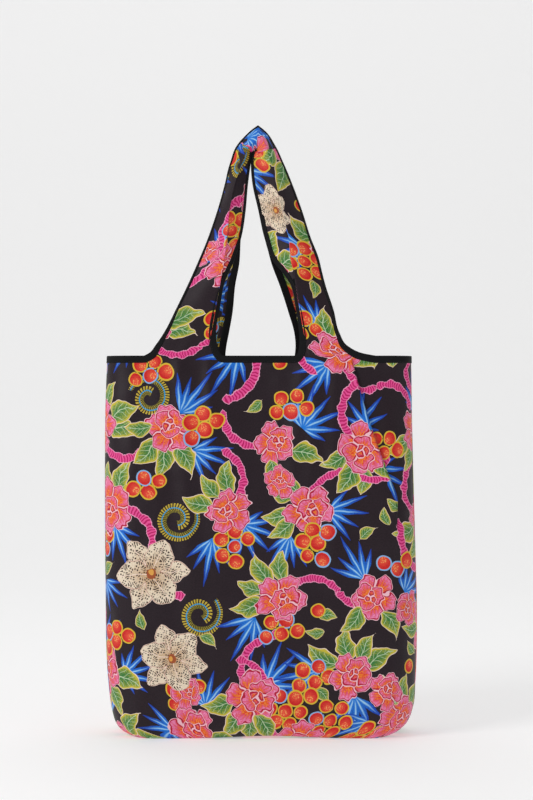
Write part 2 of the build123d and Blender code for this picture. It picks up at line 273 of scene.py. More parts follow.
def draw_whorl(tree, x, y, lot, fine, under, size, petals, turn):
    """One ring of petals: pale edge, crimson line, pink blade, and an orange throat."""
    r = reach(x, y)
    a = y.maths("ARCTAN2", x)
    t = (a * (petals / (2 * math.pi)) + turn).part() - 0.5
    crown = (t * math.pi).cosine().most(0.0).power(0.55)
    ruffle = (t * 19.0 + lot * 9.0).sine() * 0.035
    edge = (crown * 0.36 + 0.64 + ruffle) * size
    side = abs(t) * -1.0 + 0.5
    gap = (side * (2 * math.pi / petals)).sine() * r
    inside = edge - r
    rim = inside.least(gap)
    blush = (fine * 0.8 + inside / (size * 0.8)).ramp(0.15, 1.05)
    colour = paint(tree, dye("f39cc4"), dye("e2538f"), blush)
    streak = (a * 29.0 + fine * 3.0 + lot * 7.0).sine() * (size * 0.11)
    throat = (streak + (edge * 0.78 - r)).ramp(-0.1 * size, 0.24 * size)
    colour = paint(tree, colour, dye("e2331c"), throat)
    colour = paint(tree, colour, dye("f2862f"), (throat * (fine + 0.3)).ramp(0.5, 0.95))
    colour = paint(tree, colour, dye("b80f36"), rim < 2.6)
    colour = paint(tree, colour, dye("f6c3cf"), rim < 1.0)
    return paint(tree, under, colour, inside > 0.0)


def draw_flower(tree, x, y, lot, sway, fine, under):
    """A full flower: three rings of petals, each smaller than the one under it."""
    colour = draw_whorl(tree, x, y * 1.12, lot, fine, under, 35.0, 5, 0.0)
    colour = draw_whorl(tree, x - 5.0, y + 6.0, lot, fine, colour, 21.0, 3, 0.35)
    return draw_whorl(tree, x - 4.0, y + 4.0, lot, fine, colour, 9.5, 3, 0.8)


def draw_leaf(tree, x, y, lot, sway, fine, under):
    """An ovate leaf with a hooked point, stalk end at -20 mm and tip at +20 mm."""
    y = y + x * x * 0.013 - 1.6
    u = x / 20.0
    oval = (u * u * -1.0 + 1.0).most(0.0) * (u * -0.46 + 1.0) * 11.2
    half = oval + (x * 0.42 + lot * 9.0).sine() * 0.4
    rim = half - abs(y)
    tone = rim * 0.13 + fine * 1.1 + lot * 0.2 - u * 0.25
    green = paint(tree, dye("aeb040"), dye("3a7a3a"), tone.ramp(0.45, 1.85))
    vein = ((x - abs(y) * 1.15) / 7.0 + lot).part()
    veins = (abs(vein - 0.5) < 0.05) * (rim > 2.6)
    colour = paint(tree, green, dye("b9cfa6"), veins.most(abs(y) < 0.5))
    colour = paint(tree, colour, dye("c9b93a"), rim < 2.5)
    colour = paint(tree, colour, dye("efd9c8"), rim < 0.75)
    return paint(tree, under, colour, rim > 0.0)


def draw_berry(tree, x, y, lot, sway, fine, under):
    """A round red berry with a light spot, in a ring that is yellow on most and blue on some."""
    r = reach(x, y * 0.96)
    shade = (reach(x - 2.5, y - 3.0) / 12.0 + fine * 0.3).ramp(0.3, 1.05)
    flesh = paint(tree, dye("ea4f37"), dye("cb171d"), shade)
    flesh = paint(tree, flesh, dye("f3a15c"), (fine > 0.62) * (reach(x - 2.6, y - 2.8) < 4.6))
    flesh = paint(tree, flesh, dye("e5521f"), r > 7.9)
    ring = paint(tree, dye("d9b634"), dye("86b2e2"), lot > 0.78)
    colour = paint(tree, flesh, ring, r > 8.4)
    return paint(tree, under, colour, r < 10.2)


def draw_frond(tree, x, y, lot, sway, fine, under):
    """Narrow blades that fan out from the origin, towards +y."""
    r = reach(x, y)
    a = x.maths("ARCTAN2", y)
    spread = lot * 0.12 + 0.34
    blade = (a / spread).nearest()
    lean = a - blade * spread
    along, across = lean.cosine() * r, abs(lean.sine() * r)
    long = (abs(blade) * -6.5 + 54.0) + (blade * 2.3 + lot * 5.0).sine() * 6.0
    share = (along / long).most(0.0).least(1.0)
    half = (share.power(0.75) * math.pi).sine() * 3.5 + 0.25
    rim = half - across
    colour = paint(tree, dye("1c7fe0"), dye("0a3fb0"), (share + fine * 0.5 - rim * 0.12).ramp(0.1, 0.95))
    midrib = (rim - half * 0.66).ramp(0.0, 0.9) * (share - 0.06).ramp(0.0, 0.1)
    colour = paint(tree, colour, dye("9fd0f2"), midrib * (share * 1.1 - 0.05).ramp(1.0, 0.35))
    inside = (rim > 0.0) * (along > 0.0) * (along < long) * (abs(blade) < (lot * 1.2 + 2.0))
    return paint(tree, under, colour, inside)


def draw_branch(tree, x, y, lot, sway, fine, under):
    """A knobbly twig, bent round an arc of 45 mm about the origin and centred on +x."""
    r = reach(x, y)
    a = y.maths("ARCTAN2", x)
    knob = (a * 17.0 + lot * 6.0).sine() * 0.8 + (a * 71.0).sine() * 0.25
    half = (knob + 5.4) * (abs(a) * -1.0 + 0.98).ramp(0.0, 0.12)
    across = abs(r - 45.0)
    rim = half - across
    bands = (a * 71.0 + across * 0.45 + sway * 4.0).sine()
    bark = paint(tree, dye("ea4f97"), dye("bb1260"), bands.ramp(-0.1, 0.5))
    colour = paint(tree, bark, dye("f3a2c4"), rim < 0.95)
    return paint(tree, under, colour, (rim > 0.0) * (x > 0.0))


def draw_fern(tree, x, y, lot, sway, fine, under):
    """A curled fern: a blue stem wound in a spiral, with short ochre leaflets on both sides."""
    pitch = 17.0
    r = reach(x, y)
    a = y.maths("ARCTAN2", x)
    turn = (r / pitch - a / (2 * math.pi)).nearest()
    wound = turn * (2 * math.pi) + a
    off = r - wound * (pitch / (2 * math.pi))
    grown = (wound > 3.0) * (wound < 11.0)
    hair = (wound * wound * 2.7 + abs(off) * 0.4).sine()
    leaflet = (wound * -1.0 + 11.4).ramp(0.0, 2.5) * 4.0 + 2.6
    colour = paint(tree, dye("857c22"), dye("c9ae3a"), (fine + off * 0.08).ramp(0.2, 0.8))
    colour = paint(tree, under, colour, (hair > -0.25) * (abs(off) < leaflet) * grown)
    return paint(tree, colour, dye("2a9ad2"), (abs(off) < 0.8) * grown)


def draw_lily(tree, x, y, lot, sway, fine, under):
    """A big cream lily: six pointed petals, freckled brown, round a warm throat."""
    r = reach(x, y)
    a = y.maths("ARCTAN2", x)
    colour = under
    for turn, long, broad in ((0.5, 50.0, 15.0), (0.0, 46.0, 18.5)):
        blade = a / (2 * math.pi / 3) + turn
        lean = (blade - blade.nearest()) * (2 * math.pi / 3)
        along, across = lean.cosine() * r, abs(lean.sine() * r)
        share = (along / long).most(0.0).least(1.0)
        half = (share.power(0.95) * math.pi).sine().most(0.0).power(0.62) * broad
        half = half * ((share * 21.0 + lot).sine() * 0.04 + 1.0)
        rim = half - across
        tone = share * 0.9 + fine * 0.4 + across * 0.02
        petal = paint(tree, dye("b98a56"), dye("ecdcc4"), tone.ramp(0.15, 0.95))
        wave_across = (x + (y * 0.47 + lot * 9.0).sine() * 2.6).sine()
        wave_up = (y * 1.08 + (x * 0.41).sine() * 2.4).sine()
        petal = paint(tree, petal, dye("3d251f"), wave_across * wave_up + fine * 0.5 > 0.62)
        petal = paint(tree, petal, dye("b37f6c"), rim < 1.4)
        petal = paint(tree, petal, dye("f3dccb"), (rim < 0.7).most(across < 0.45))
        colour = paint(tree, colour, petal, (rim > 0.0) * (along > 0.0) * (along < long))
    colour = paint(tree, colour, dye("a2522c"), r < 6.0)
    return paint(tree, colour, dye("e0a24a"), reach(x - 1.2, y - 1.0) < 3.2)


# Each kind of figure, with how far the mottle bends its outlines.
PRINT_FIGURES = {
    "fern": figure("print fern", draw_fern, 1.5),
    "frond": figure("print frond", draw_frond, 1.5),
    "leaf": figure("print leaf", draw_leaf, 5.0),
    "branch": figure("print branch", draw_branch, 5.0),
    "berry": figure("print berry", draw_berry, 2.2),
    "flower": figure("print flower", draw_flower, 9.0),
    "lily": figure("print lily", draw_lily, 5.0),
}
# The screens in the order they are printed, each with its kind of figure.
SCREENS = (
    ("fern_1", "fern"), ("frond_1", "frond"), ("frond_2", "frond"), ("leaf_1", "leaf"),
    ("branch_1", "branch"), ("branch_2", "branch"), ("leaf_2", "leaf"), ("berry_1", "berry"),
    ("flower_1", "flower"), ("leaf_3", "leaf"), ("berry_2", "berry"), ("flower_2", "flower"),
    ("lily_1", "lily"),
)


def printed_cloth():
    """The cloth's material: the screens over a nearly black ground, with a fine weave in the bump."""
    cloth, tree, shader = new_material("printed_cloth")
    pattern, across, up = flat_pattern(tree)
    coarse = speckle(tree, pattern, 95.0, 0.0)
    fine = speckle(tree, pattern, 520.0, 1.0)
    split = tree.nodes.new("ShaderNodeSeparateXYZ")
    tree.links.new(coarse.outputs["Color"], split.inputs[0])
    sway_x, sway_y = [Ink(tree, split.outputs[i]) - 0.5 for i in (0, 1)]
    grain = Ink(tree, fine.outputs["Fac"]).ramp(0.3, 0.7)
    mottle = tree.nodes.new("ShaderNodeCombineXYZ")
    for socket, value in zip(mottle.inputs, (sway_x, sway_y, grain)):
        tree.links.new(value.socket, socket)
    colour = paint(tree, dye("1b0e16"), dye("25161f"), grain)
    for screen, kind in SCREENS:
        place = tree.nodes.new("ShaderNodeAttribute")
        place.attribute_name = screen
        step = tree.nodes.new("ShaderNodeGroup")
        step.node_tree = PRINT_FIGURES[kind]
        tree.links.new(place.outputs["Vector"], step.inputs["Place"])
        tree.links.new(mottle.outputs[0], step.inputs["Mottle"])
        tree.links.new(colour, step.inputs["Under"])
        colour = step.outputs["Colour"]
    tree.links.new(colour, shader.inputs["Base Color"])
    shader.inputs["Roughness"].default_value = 0.48
    shader.inputs["Specular IOR Level"].default_value = 0.26
    shader.inputs["Sheen Weight"].default_value = 0.04
    shader.inputs["Sheen Roughness"].default_value = 0.4
    warp = (across * (2 * math.pi / 0.00055)).sine()
    weft = (up * (2 * math.pi / 0.00065)).sine()
    emboss(tree, shader, warp * weft + grain * 0.6, 0.16, 0.0002)
    return cloth


PRINTED = printed_cloth()

# How far over and up from its origin each figure's middle lies, and how far it reaches from there, in
# millimetres at full size.
FIGURE_REACH = {"flower": (0, 0, 38), "leaf": (0, 0, 21.5), "berry": (0, 0, 10.8), "frond": (0, 26, 36),
                "branch": (36, 0, 42), "fern": (0, 0, 33), "lily": (0, 0, 52)}
FULL_TURN = 6.28
TWIG_RADIUS = 45
FLOWER_PITCH = 89
BERRY_PITCH = 19.5
FAR_OFF = 999.0
# A figure where it is printed: its origin, turn, size and lot, and the round of cloth that it covers.
Figure = namedtuple("Figure", "x y turn size lot middle_x middle_y reach")


def off_from(place, turn, distance):
    """The point at a distance from a place, in the direction of a turn."""
    return place[0] + distance * math.cos(turn), place[1] + distance * math.sin(turn)


class PrintPlan:
    """Where the figures fall on one piece of cloth, in millimetres on its flat pattern."""

    def __init__(self, low, high, lot, lilies=()):
        self.low, self.high = low, high
        self.chance = np.random.RandomState(lot)
        self.screens = {screen: [] for screen, kind in SCREENS}
        self.covered = []
        for x, y, size in lilies:
            self.put("lily", (x, y), self.chance.uniform(0, FULL_TURN), size)
        self.spread_flowers()
        self.fill_gaps()

    def middle(self, kind, place, turn, size):
        """Where the middle of a figure comes, and how far it reaches from there."""
        mx, my, reach_out = FIGURE_REACH[kind]
        c, s = math.cos(turn), math.sin(turn)
        return place[0] + size * (mx * c - my * s), place[1] + size * (mx * s + my * c), reach_out * size

    def put(self, kind, place, turn, size=1.0, first=0):
        """Prints a figure on the first screen of its kind with room for it, and says whether one had."""
        x, y, reach_out = self.middle(kind, place, turn, size)
        close = 0.86 if kind == "berry" else 0.97
        for screen in [s for s, k in SCREENS if k == kind][first:]:
            taken = self.screens[screen]
            if all(math.hypot(x - other.middle_x, y - other.middle_y) > close * (reach_out + other.reach)
                   for other in taken):
                taken.append(Figure(*place, turn, size, self.chance.rand(), x, y, reach_out))
                self.covered.append((x, y, reach_out * (0.8 if kind in ("frond", "branch") else 1.0)))
                return True
        return False

    def spread_flowers(self):
        """Flowers as close together as they fit, and well clear of the lilies."""
        chance, flowers = self.chance, [(lily.x, lily.y) for lily in self.screens["lily_1"]]
        start = len(flowers)
        for _ in range(900):
            place = tuple(chance.uniform(self.low, self.high))
            near = min([math.hypot(place[0] - f[0], place[1] - f[1]) for f in flowers] or [1e3])
            if near > FLOWER_PITCH:
                flowers.append(place)
        for place in flowers[start:]:
            turn = chance.uniform(0, FULL_TURN)
            self.put("flower", place, turn, chance.uniform(0.84, 1.08))
            if chance.rand() < 0.32:
                beside = off_from(place, chance.uniform(0, FULL_TURN), 50)
                turn = chance.uniform(0, FULL_TURN)
                self.put("flower", beside, turn, chance.uniform(0.62, 0.8), first=1)
            self.dress(place, chance.uniform(0, FULL_TURN))

    def dress(self, place, start):
        """Leaves, berries, a twig and fronds round a flower."""
        chance = self.chance
        for step in range(3 + chance.randint(2)):
            turn = start + step * 0.62 + chance.uniform(-0.15, 0.15)
            size = chance.uniform(0.9, 1.25)
            self.put("leaf", off_from(place, turn, 24 + 17 * size), turn, size)
        turn = start + 2.9 + chance.uniform(-0.3, 0.3)
        self.bunch(off_from(place, turn, 46), 4 + chance.randint(4))
        turn = start + 4.0 + chance.uniform(-0.3, 0.3)
        self.put("frond", off_from(place, turn, 24), turn - math.pi / 2, chance.uniform(0.95, 1.2))
        turn = start + 2.2 + chance.uniform(-0.2, 0.2)
        size = chance.uniform(0.9, 1.15)
        self.put("frond", off_from(place, turn, 40), turn - 1.2, size, first=chance.randint(2))
        turn = start + 5.2 + chance.uniform(-0.3, 0.3)
        size = chance.uniform(0.8, 1.1)
        self.twig(off_from(place, turn, 18), turn, size, chance.choice((-1, 1)))

    def twig(self, start, heading, size, bend):
        """Two arcs end to end, bending opposite ways."""
        half, radius = 0.9, TWIG_RADIUS * size
        for piece in range(2):
            side = heading + bend * math.pi / 2
            centre = off_from(start, side, radius)
            turn = side + math.pi + bend * half
            if not self.put("branch", centre, turn, size, first=piece):
                return
            end = side + math.pi + bend * 2 * half
            start = off_from(centre, end, radius)
            heading = end + bend * math.pi / 2
            bend = -bend

    def bunch(self, place, count):
        """Berries packed round one in the middle."""
        chance = self.chance
        spots = [(0, 0)] + [off_from((0, 0), k * math.pi / 3, 1) for k in range(6)]
        turn = chance.uniform(0, 1.0)
        c, s = math.cos(turn), math.sin(turn)
        for x, y in spots[:count]:
            across = place[0] + BERRY_PITCH * (x * c - y * s) + chance.uniform(-1, 1)
            up = place[1] + BERRY_PITCH * (x * s + y * c) + chance.uniform(-1, 1)
            self.put("berry", (across, up), chance.uniform(0, FULL_TURN), chance.uniform(0.86, 1.1))

    def free(self, x, y, room):
        """Whether a spot has this much room to the nearest figure."""
        return all(math.hypot(x - c[0], y - c[1]) > c[2] + room for c in self.covered)

    def fill_gaps(self):
        """Smaller and smaller figures wherever the ground still shows."""
        chance = self.chance
        rounds = (
            (18, ("fern", "frond", "berries")),
            (9, ("frond", "leaf", "berries", "fern")),
            (4, ("leaf", "berry", "small leaf")),
        )
        for room, kinds in rounds:
            for _ in range(1500):
                x, y = chance.uniform(self.low, self.high)
                if not self.free(x, y, room):
                    continue
                kind, turn = kinds[chance.randint(len(kinds))], chance.uniform(0, FULL_TURN)
                if kind == "berries":
                    self.bunch((x, y), 3 + chance.randint(4))
                elif kind == "frond":
                    self.put("frond", (x + 22 * math.sin(turn), y - 22 * math.cos(turn)), turn, 0.85)
                elif kind == "small leaf":
                    self.put("leaf", (x, y), turn, 0.62)
                else:
                    self.put(kind, (x, y), turn, 0.9)

    def stamp(self, mesh):
        """Writes each screen's places on the mesh's face corners, from its flat pattern."""
        count = len(mesh.loops)
        uv = np.zeros(count * 2, np.float32)
        mesh.uv_layers["flat"].data.foreach_get("uv", uv)
        uv = uv.reshape(-1, 2).astype(float) * 1000
        starts = np.zeros(len(mesh.polygons), np.int32)
        totals = np.zeros(len(mesh.polygons), np.int32)
        mesh.polygons.foreach_get("loop_start", starts)
        mesh.polygons.foreach_get("loop_total", totals)
        owner = np.repeat(np.arange(len(starts)), totals)
        centre = np.zeros((len(starts), 2))
        np.add.at(centre, owner, uv)
        centre /= totals[:, None]
        for screen, taken in self.screens.items():
            place = np.full((count, 3), FAR_OFF, np.float32)
            if taken:
                figures = Figure(*np.array(taken).T)
                gap = np.hypot(centre[:, :1] - figures.middle_x, centre[:, 1:] - figures.middle_y)
                share = gap / (figures.reach + 1.5)
                nearest = share.argmin(1)
                inside = share[np.arange(len(nearest)), nearest] < 1
                here = Figure(*(values[nearest[owner]] for values in figures))
                dx, dy = (uv[:, 0] - here.x) / here.size, (uv[:, 1] - here.y) / here.size
                c, s = np.cos(here.turn), np.sin(here.turn)
                local = np.stack([dx * c + dy * s, dy * c - dx * s, here.lot], 1)
                place[inside[owner]] = local[inside[owner]]
            attribute = mesh.attributes.new(screen, "FLOAT_VECTOR", "CORNER")
            attribute.data.foreach_set("vector", place.ravel())


# ---- The shape the cloth stands in ---------------------------------------------------------------
# The bag stands open on its base. Its section is a rounded rectangle that narrows towards the rim, and the
# cloth pulls in soft folds from where the straps leave it.

RIM = 488.0
# How far short of the side the corner seams lie, as a turn of the rounded corner.
SEAM_TURN = math.radians(15)
# Height, half width on the left and on the right, half depth and corner radius, in millimetres.
FORM = np.array([
    (0, 163, 163, 48, 27), (4, 173, 174, 51.5, 32), (10, 181, 183, 55, 36), (17, 186, 189.5, 58, 39),
    (26, 189, 194, 60.5, 41), (40, 192, 198, 63, 43), (70, 195.5, 200.5, 66, 46), (110, 198, 202, 67, 47),
    (170, 199, 202.5, 66.5, 47), (250, 200, 200.5, 64, 45), (330, 200.5, 198.5, 59, 42),
    (400, 200.5, 197, 52.5, 38), (450, 199.5, 196.5, 46, 34), (RIM, 198, 196, 41.8, 32),
])


def smooth_between(t, points):
    """A smooth curve through points at knots t, for resampling."""
    t, points = np.asarray(t, float), np.asarray(points, float)
    slope = np.gradient(points, t, axis=0)

    def at(query):
        query = np.clip(np.asarray(query, float), t[0], t[-1])
        i = np.clip(np.searchsorted(t, query) - 1, 0, len(t) - 2)
        span = t[i + 1] - t[i]
        s = (query - t[i]) / span
        s, span = s[:, None], span[:, None]
        return ((2 * s**3 - 3 * s**2 + 1) * points[i] + (s**3 - 2 * s**2 + s) * span * slope[i]
                + (-2 * s**3 + 3 * s**2) * points[i + 1] + (s**3 - s**2) * span * slope[i + 1])

    return at


form_at = smooth_between(FORM[:, 0], FORM[:, 1:])


def run_along(line):
    """How far along a line of points each of them lies."""
    return np.concatenate([[0], np.cumsum(np.linalg.norm(np.diff(line, axis=0), axis=1))])


def resample(values, run, spread):
    """Points or directions along a line, taken again at other distances along it."""
    return np.stack([np.interp(spread, run, values[:, k]) for k in range(3)], -1)


def bell(x, middle, width):
    """1 at the middle, falling away smoothly on both sides."""
    return np.exp(-((x - middle) / width) ** 2)


def fold_height(side_y, across, z):
    """How far the cloth stands out from the plain form, in millimetres, on the front or the back."""
    rise = z / RIM
    hang = np.clip((z - 60) / 160, 0, 1)
    top = np.clip((z - 300) / 186, 0, 1)
    out = np.zeros_like(z)
    for foot, head, low, high, wide in (
        (-78, -104, 2.8, 4.2, 10), (-52, -66, 1.4, 3.4, 8), (8, 56, 2.6, 2.2, 9), (40, 74, 1.2, 3.2, 9),
        (-132, -128, 2.4, 1.6, 12), (92, 96, 2.2, 2.6, 9), (-18, -48, 2.0, 1.0, 12),
    ):
        line = foot + (head - foot) * rise
        out += bell(across, line, wide + 10 * (1 - rise)) * (low + (high - low) * rise) * hang
    out -= bell(across, 0, 42) * 4.0 * top**2
    out -= bell(across, 165, 24) * 2.0 * top
    pucker = np.clip((95 - z) / 95, 0, 1)
    for spot, size in ((-152, 4.2), (-112, 2.8), (-60, 1.6), (30, 1.2), (76, 2.0), (118, 3.6), (152, 4.8)):
        out += size * pucker * np.cos((across - spot - (z - 40) * 0.25) / 9.5) * bell(across, spot, 24)
    return out if side_y < 0 else out * 0.8 + 1.2 * np.sin(across / 37 + z / 90) * hang


def crumple(points, size, depth):
    """Fine, shallow unevenness in the cloth."""
    return np.array([noise(Vector(p) / size) for p in points]) * depth


def section_point(side_x, side_y, run, z):
    """Where the cloth lies at a height, run millimetres round from the middle of the front or back, and
    which way it faces there."""
    left, right, depth, corner = form_at(z).T
    width = np.where(side_x < 0, left, right)
    straight = width - corner
    angle = np.clip((run - straight) / corner, 0, math.pi / 2)
    past = np.maximum(run - straight - corner * math.pi / 2, 0)
    x = np.minimum(run, straight) + corner * np.sin(angle)
    y = (depth - corner) + corner * np.cos(angle) - past
    normal = np.stack([side_x * np.sin(angle), side_y * np.cos(angle), np.zeros_like(angle)], -1)
    return np.stack([side_x * x, side_y * y, z], -1), normal


def seam_run(side_x, z):
    """How far round from the middle the corner seam lies at each height."""
    left, right, _, corner = form_at(z).T
    width = left if side_x < 0 else right
    return width - corner + corner * (math.pi / 2 - SEAM_TURN)


# How many quads the cloth is divided into across half the neck, across a shoulder and a gusset, and up
# the panels and the straps.
HALF_NECK_CUTS = 16
SHOULDER_CUTS = 26
GUSSET_CUTS = 24
PANEL_ROWS = 164
STRAP_ROWS = 112
CLOTH_THICK = 0.35
# Under this height the whole panel narrows towards the base. Over it only the shoulders narrow.
SHOULDERS_FROM = 250.0
# The front's right-hand pleat: where it starts across the rim, how deep it is tucked under, and the six
# lines of cloth that turn under and back out, each with its share of the tuck, its cut length in tucks
# and its height.
PLEAT_AT = 117.0
PLEAT_TUCK = 9.0
PLEAT_LINES = ((0.0, 0.0, 3.2), (-0.25, 0.25, 2.2), (-1.0, 1.0, 1.5),
               (-1.05, 1.06, 0.9), (-0.25, 1.8, -1.0), (0.05, 2.05, -2.0))

# Each strap from its foot to the top: outer edge, fold and inner edge, each as how far out, how far
# ahead and how high.
STRAP_LINES = {
    (-1, -1): (
        (148, 42, 488.5, 70, 42, 488.5, 48, 42, 488.5), (142, 42, 491.5, 68, 42.5, 491, 51, 42, 491.5),
        (133, 41, 502, 66, 43, 500, 55, 42, 502), (121, 39, 520, 62, 42, 518, 57, 40, 520),
        (107, 35, 548, 57, 40, 546, 52.5, 37, 548), (91.5, 28, 581, 51, 37.5, 581, 46, 31, 583),
        (78, 23, 612, 45.5, 34.5, 612, 34, 25, 612), (66, 17, 642, 42, 31, 643, 24.5, 18, 644),
        (54, 10, 679, 39, 28, 677, 19.5, 14, 676), (45, 6, 712, 32, 25, 711, 16.5, 12, 710),
        (38, 4, 740, 23, 21.5, 739, 13, 11, 737), (28, 3, 764, 15, 19, 757, 11, 10, 749),
        (13, 3, 780, 9, 17, 764, 8, 9.5, 750), (2.6, 3, 788, 2.6, 16, 769, 2.6, 9, 751),
    ),
    (1, -1): (
        (148, 42, 488.5, 64, 42, 488.5, 46, 42, 488.5), (131, 42, 491.5, 62, 42.5, 491, 48.5, 42, 491.5),
        (113, 41, 500, 60, 43, 500, 51, 42, 501), (101, 39, 518, 56, 42, 518, 50.5, 40, 520),
        (94, 35, 546, 51, 40, 546, 47, 37, 548), (83, 28, 581, 45.5, 37, 581, 39, 31.5, 582),
        (79, 25.5, 597, 43, 36, 597, 29, 27, 597), (75, 23, 614, 40, 34, 612, 17, 22, 612),
        (64.5, 17, 642, 37, 31, 642, 6.5, 16, 642), (53, 10, 679, 28.5, 28, 677, -1.5, 13.5, 678),
        (41, 6, 712, 21, 25, 711, -9, 12, 712), (29.5, 4, 740, 13, 21.5, 741, -11, 11, 738),
        (18.5, 3, 763, 8, 19, 758, -10, 10.5, 749), (7, 3, 780, 3, 17, 767, -6.5, 9.8, 752),
        (-2.6, 3, 788, -2.6, 16, 769, -2.6, 9, 751),
    ),
    (-1, 1): (
        (138, 42, 488.5, 64, 42, 488.5, 46, 42, 488.5), (122, 42, 491.5, 62, 42.5, 491, 46.5, 42, 491.5),
        (112, 41, 502, 60, 43, 500, 45.5, 42, 502), (102, 39, 520, 56, 42, 518, 42, 40, 520),
        (90, 35, 548, 50, 40, 546, 37, 37, 548), (79, 28, 581, 45, 37, 581, 33.5, 31, 583),
        (67, 23, 612, 39, 34, 612, 28, 25, 612), (57, 17, 642, 37, 31, 643, 26, 18, 644),
        (47, 10, 679, 32, 28, 677, 22, 14, 676), (39, 6, 712, 27, 25, 711, 18.5, 12, 710),
        (32, 4, 738, 20, 21.5, 735, 15, 11, 731), (23, 3, 760, 14, 19, 752, 12, 10, 743),
        (11, 3, 776, 8, 17, 761, 7.5, 9.5, 748), (2.6, 3, 784, 2.6, 16, 766, 2.6, 9, 749),
    ),
    (1, 1): (
        (138, 42, 488.5, 60, 42, 488.5, 46, 42, 488.5), (122, 42, 491.5, 58, 42.5, 491, 46.5, 42, 491.5),
        (112, 41, 502, 56.5, 43, 500, 47.5, 42, 502), (101, 39, 520, 53, 42, 518, 46, 40, 520),
        (90, 35, 548, 48, 40, 546, 38, 37, 548), (77, 28, 581, 42, 37, 581, 26.5, 31, 583),
        (67, 23, 612, 36, 34, 612, 15.5, 24, 612), (56, 17, 642, 31, 31, 642, 8, 17, 642),
        (45, 10, 679, 24, 28, 677, 0, 13.5, 678), (34, 6, 712, 17, 25, 711, -6, 12, 710),
        (25, 4, 738, 11, 21.5, 739, -8, 11, 735), (15, 3, 758, 6, 19, 754, -7, 10.5, 744),
        (4.5, 3, 775, 2, 17, 763, -5, 9.8, 749), (-2.6, 3, 784, -2.6, 16, 766, -2.6, 9, 749),
    ),
}


def strap_shares(side_x, side_y):
    """Where the lines of cloth run across a strap, from its outer edge at 0 to its inner edge at 1, and
    where the crease is among them."""
    lines = STRAP_LINES[side_x, side_y]
    foot_out, foot_fold, foot_in = lines[0][0], lines[0][3], lines[0][6]
    crease = (foot_out - foot_fold) / (foot_out - foot_in)
    turned_in = np.linspace(crease + 0.03, 1, 9)
    shares = np.concatenate([np.linspace(0, crease, 26), [crease + 0.006], turned_in])
    if (side_x, side_y) == (1, -1):
        spot = (foot_out - PLEAT_AT) / (foot_out - foot_in)
        clear = shares[abs(shares - spot) > 0.009]
        shares = np.sort(np.concatenate([clear, spot + 0.0015 * np.arange(-5, 1)]))
    return shares, crease


def strap_grid(side_x, side_y):
    """Rows of points up a strap, each from its outer to its inner edge, how far across its flat cut each
    is, and how long the strap is."""
    lines = np.array(STRAP_LINES[side_x, side_y], float)
    knots = run_along(lines.reshape(-1, 3, 3).mean(1))
    rows = smooth_between(knots, lines)(np.linspace(0, knots[-1], STRAP_ROWS + 1))
    shares, crease = strap_shares(side_x, side_y)
    turned = shares > crease + 1e-6
    first_part = np.minimum(shares / crease, 1)
    second_part = np.maximum((shares - crease) / (1 - crease), 0)
    grid, cuts = [], []
    for step, row in enumerate(rows):
        outer, fold, inner = row[:3], row[3:6], row[6:]
        first, second = np.linalg.norm(fold - outer), np.linalg.norm(inner - fold)
        points = outer + first_part[:, None] * (fold - outer) + second_part[:, None] * (inner - fold)
        stand = min(step / 26, 1.0, (STRAP_ROWS - step) / 16)
        bulge, roll = 1.8 * np.sin(first_part * math.pi), -2.4 * np.exp(-second_part * second / 9)
        points[:, 1] += np.where(turned, roll, bulge) * stand
        grid.append(points)
        across = first_part * first + second_part * second + np.where(turned, 13.0 * stand, 0.0)
        cuts.append(across - (first + second) / 2)
    grid = np.array(grid)
    grid[..., 0] *= side_x
    grid[..., 1] *= side_y
    return grid, np.array(cuts), knots[-1]


def pleat_line(z):
    """How far from the middle the pleat's fold lies at a height, and what share of its depth is left."""
    down = min(max(RIM + 1 - z, 0.0), 180.0)
    ease = min(max((z - 60) / 200, 0.0), 1.0)
    line = PLEAT_AT + (0.22 * down + 0.0006 * down**2) * ease * ease * (3 - 2 * ease)
    return line, min(max((z - 262) / 45, 0.0), 1.0) * min(max((RIM - z) / 18, 0.012), 1.0)


def panel_lines(side_x, side_y, z):
    """Every line of cloth from the middle out to the corner seam, on one half of a panel at one height:
    how far round it lies, how far out on the flat pattern, and how high the pleat lifts it."""
    lines = STRAP_LINES[side_x, side_y]
    foot_out, foot_in = lines[0][0], lines[0][6]
    neck = np.linspace(0, foot_in, HALF_NECK_CUTS + 1)[:-1]
    strap = foot_out - (foot_out - foot_in) * strap_shares(side_x, side_y)[0][::-1]
    full = seam_run(side_x, np.array([SHOULDERS_FROM]))[0]
    shoulder = np.linspace(foot_out, full, SHOULDER_CUTS + 1)[1:]
    cut = np.concatenate([neck, strap, shoulder])
    lift = np.zeros_like(cut)
    flat = cut.copy()
    if (side_x, side_y) == (1, -1):
        line, open_by = pleat_line(z)
        first = int(np.argmin(abs(cut - PLEAT_AT)))
        while cut[first - 1] > PLEAT_AT - 0.9:
            first -= 1
        last = first + len(PLEAT_LINES) - 1
        left, right = cut < cut[first], cut > cut[last]
        beyond = line + (cut - PLEAT_AT) * (full - line) / (full - PLEAT_AT)
        cut = np.where(left, cut * line / PLEAT_AT, beyond)
        flat = cut.copy()
        for k, (share, length, high) in enumerate(PLEAT_LINES):
            cut[first + k] = line + PLEAT_TUCK * share * open_by + 0.15 * (k - 5) * (1 - open_by)
            flat[first + k] = line + PLEAT_TUCK * length * open_by + 0.15 * (k - 5) * (1 - open_by)
            lift[first + k] = high * open_by
        flat[right] += 2 * PLEAT_TUCK * open_by
        lift[left] = 3.2 * np.exp((cut[left] - line) / 26) * open_by
        lift[right] = -2.0 * np.exp(-(cut[right] - line) / 24) * open_by
    end = seam_run(side_x, np.array([z]))[0]
    if z < SHOULDERS_FROM:
        return cut * (end / full), flat, lift
    shoulders = foot_out + (cut - foot_out) * (end - foot_out) / (full - foot_out)
    return np.where(cut > foot_out, shoulders, cut), flat, lift


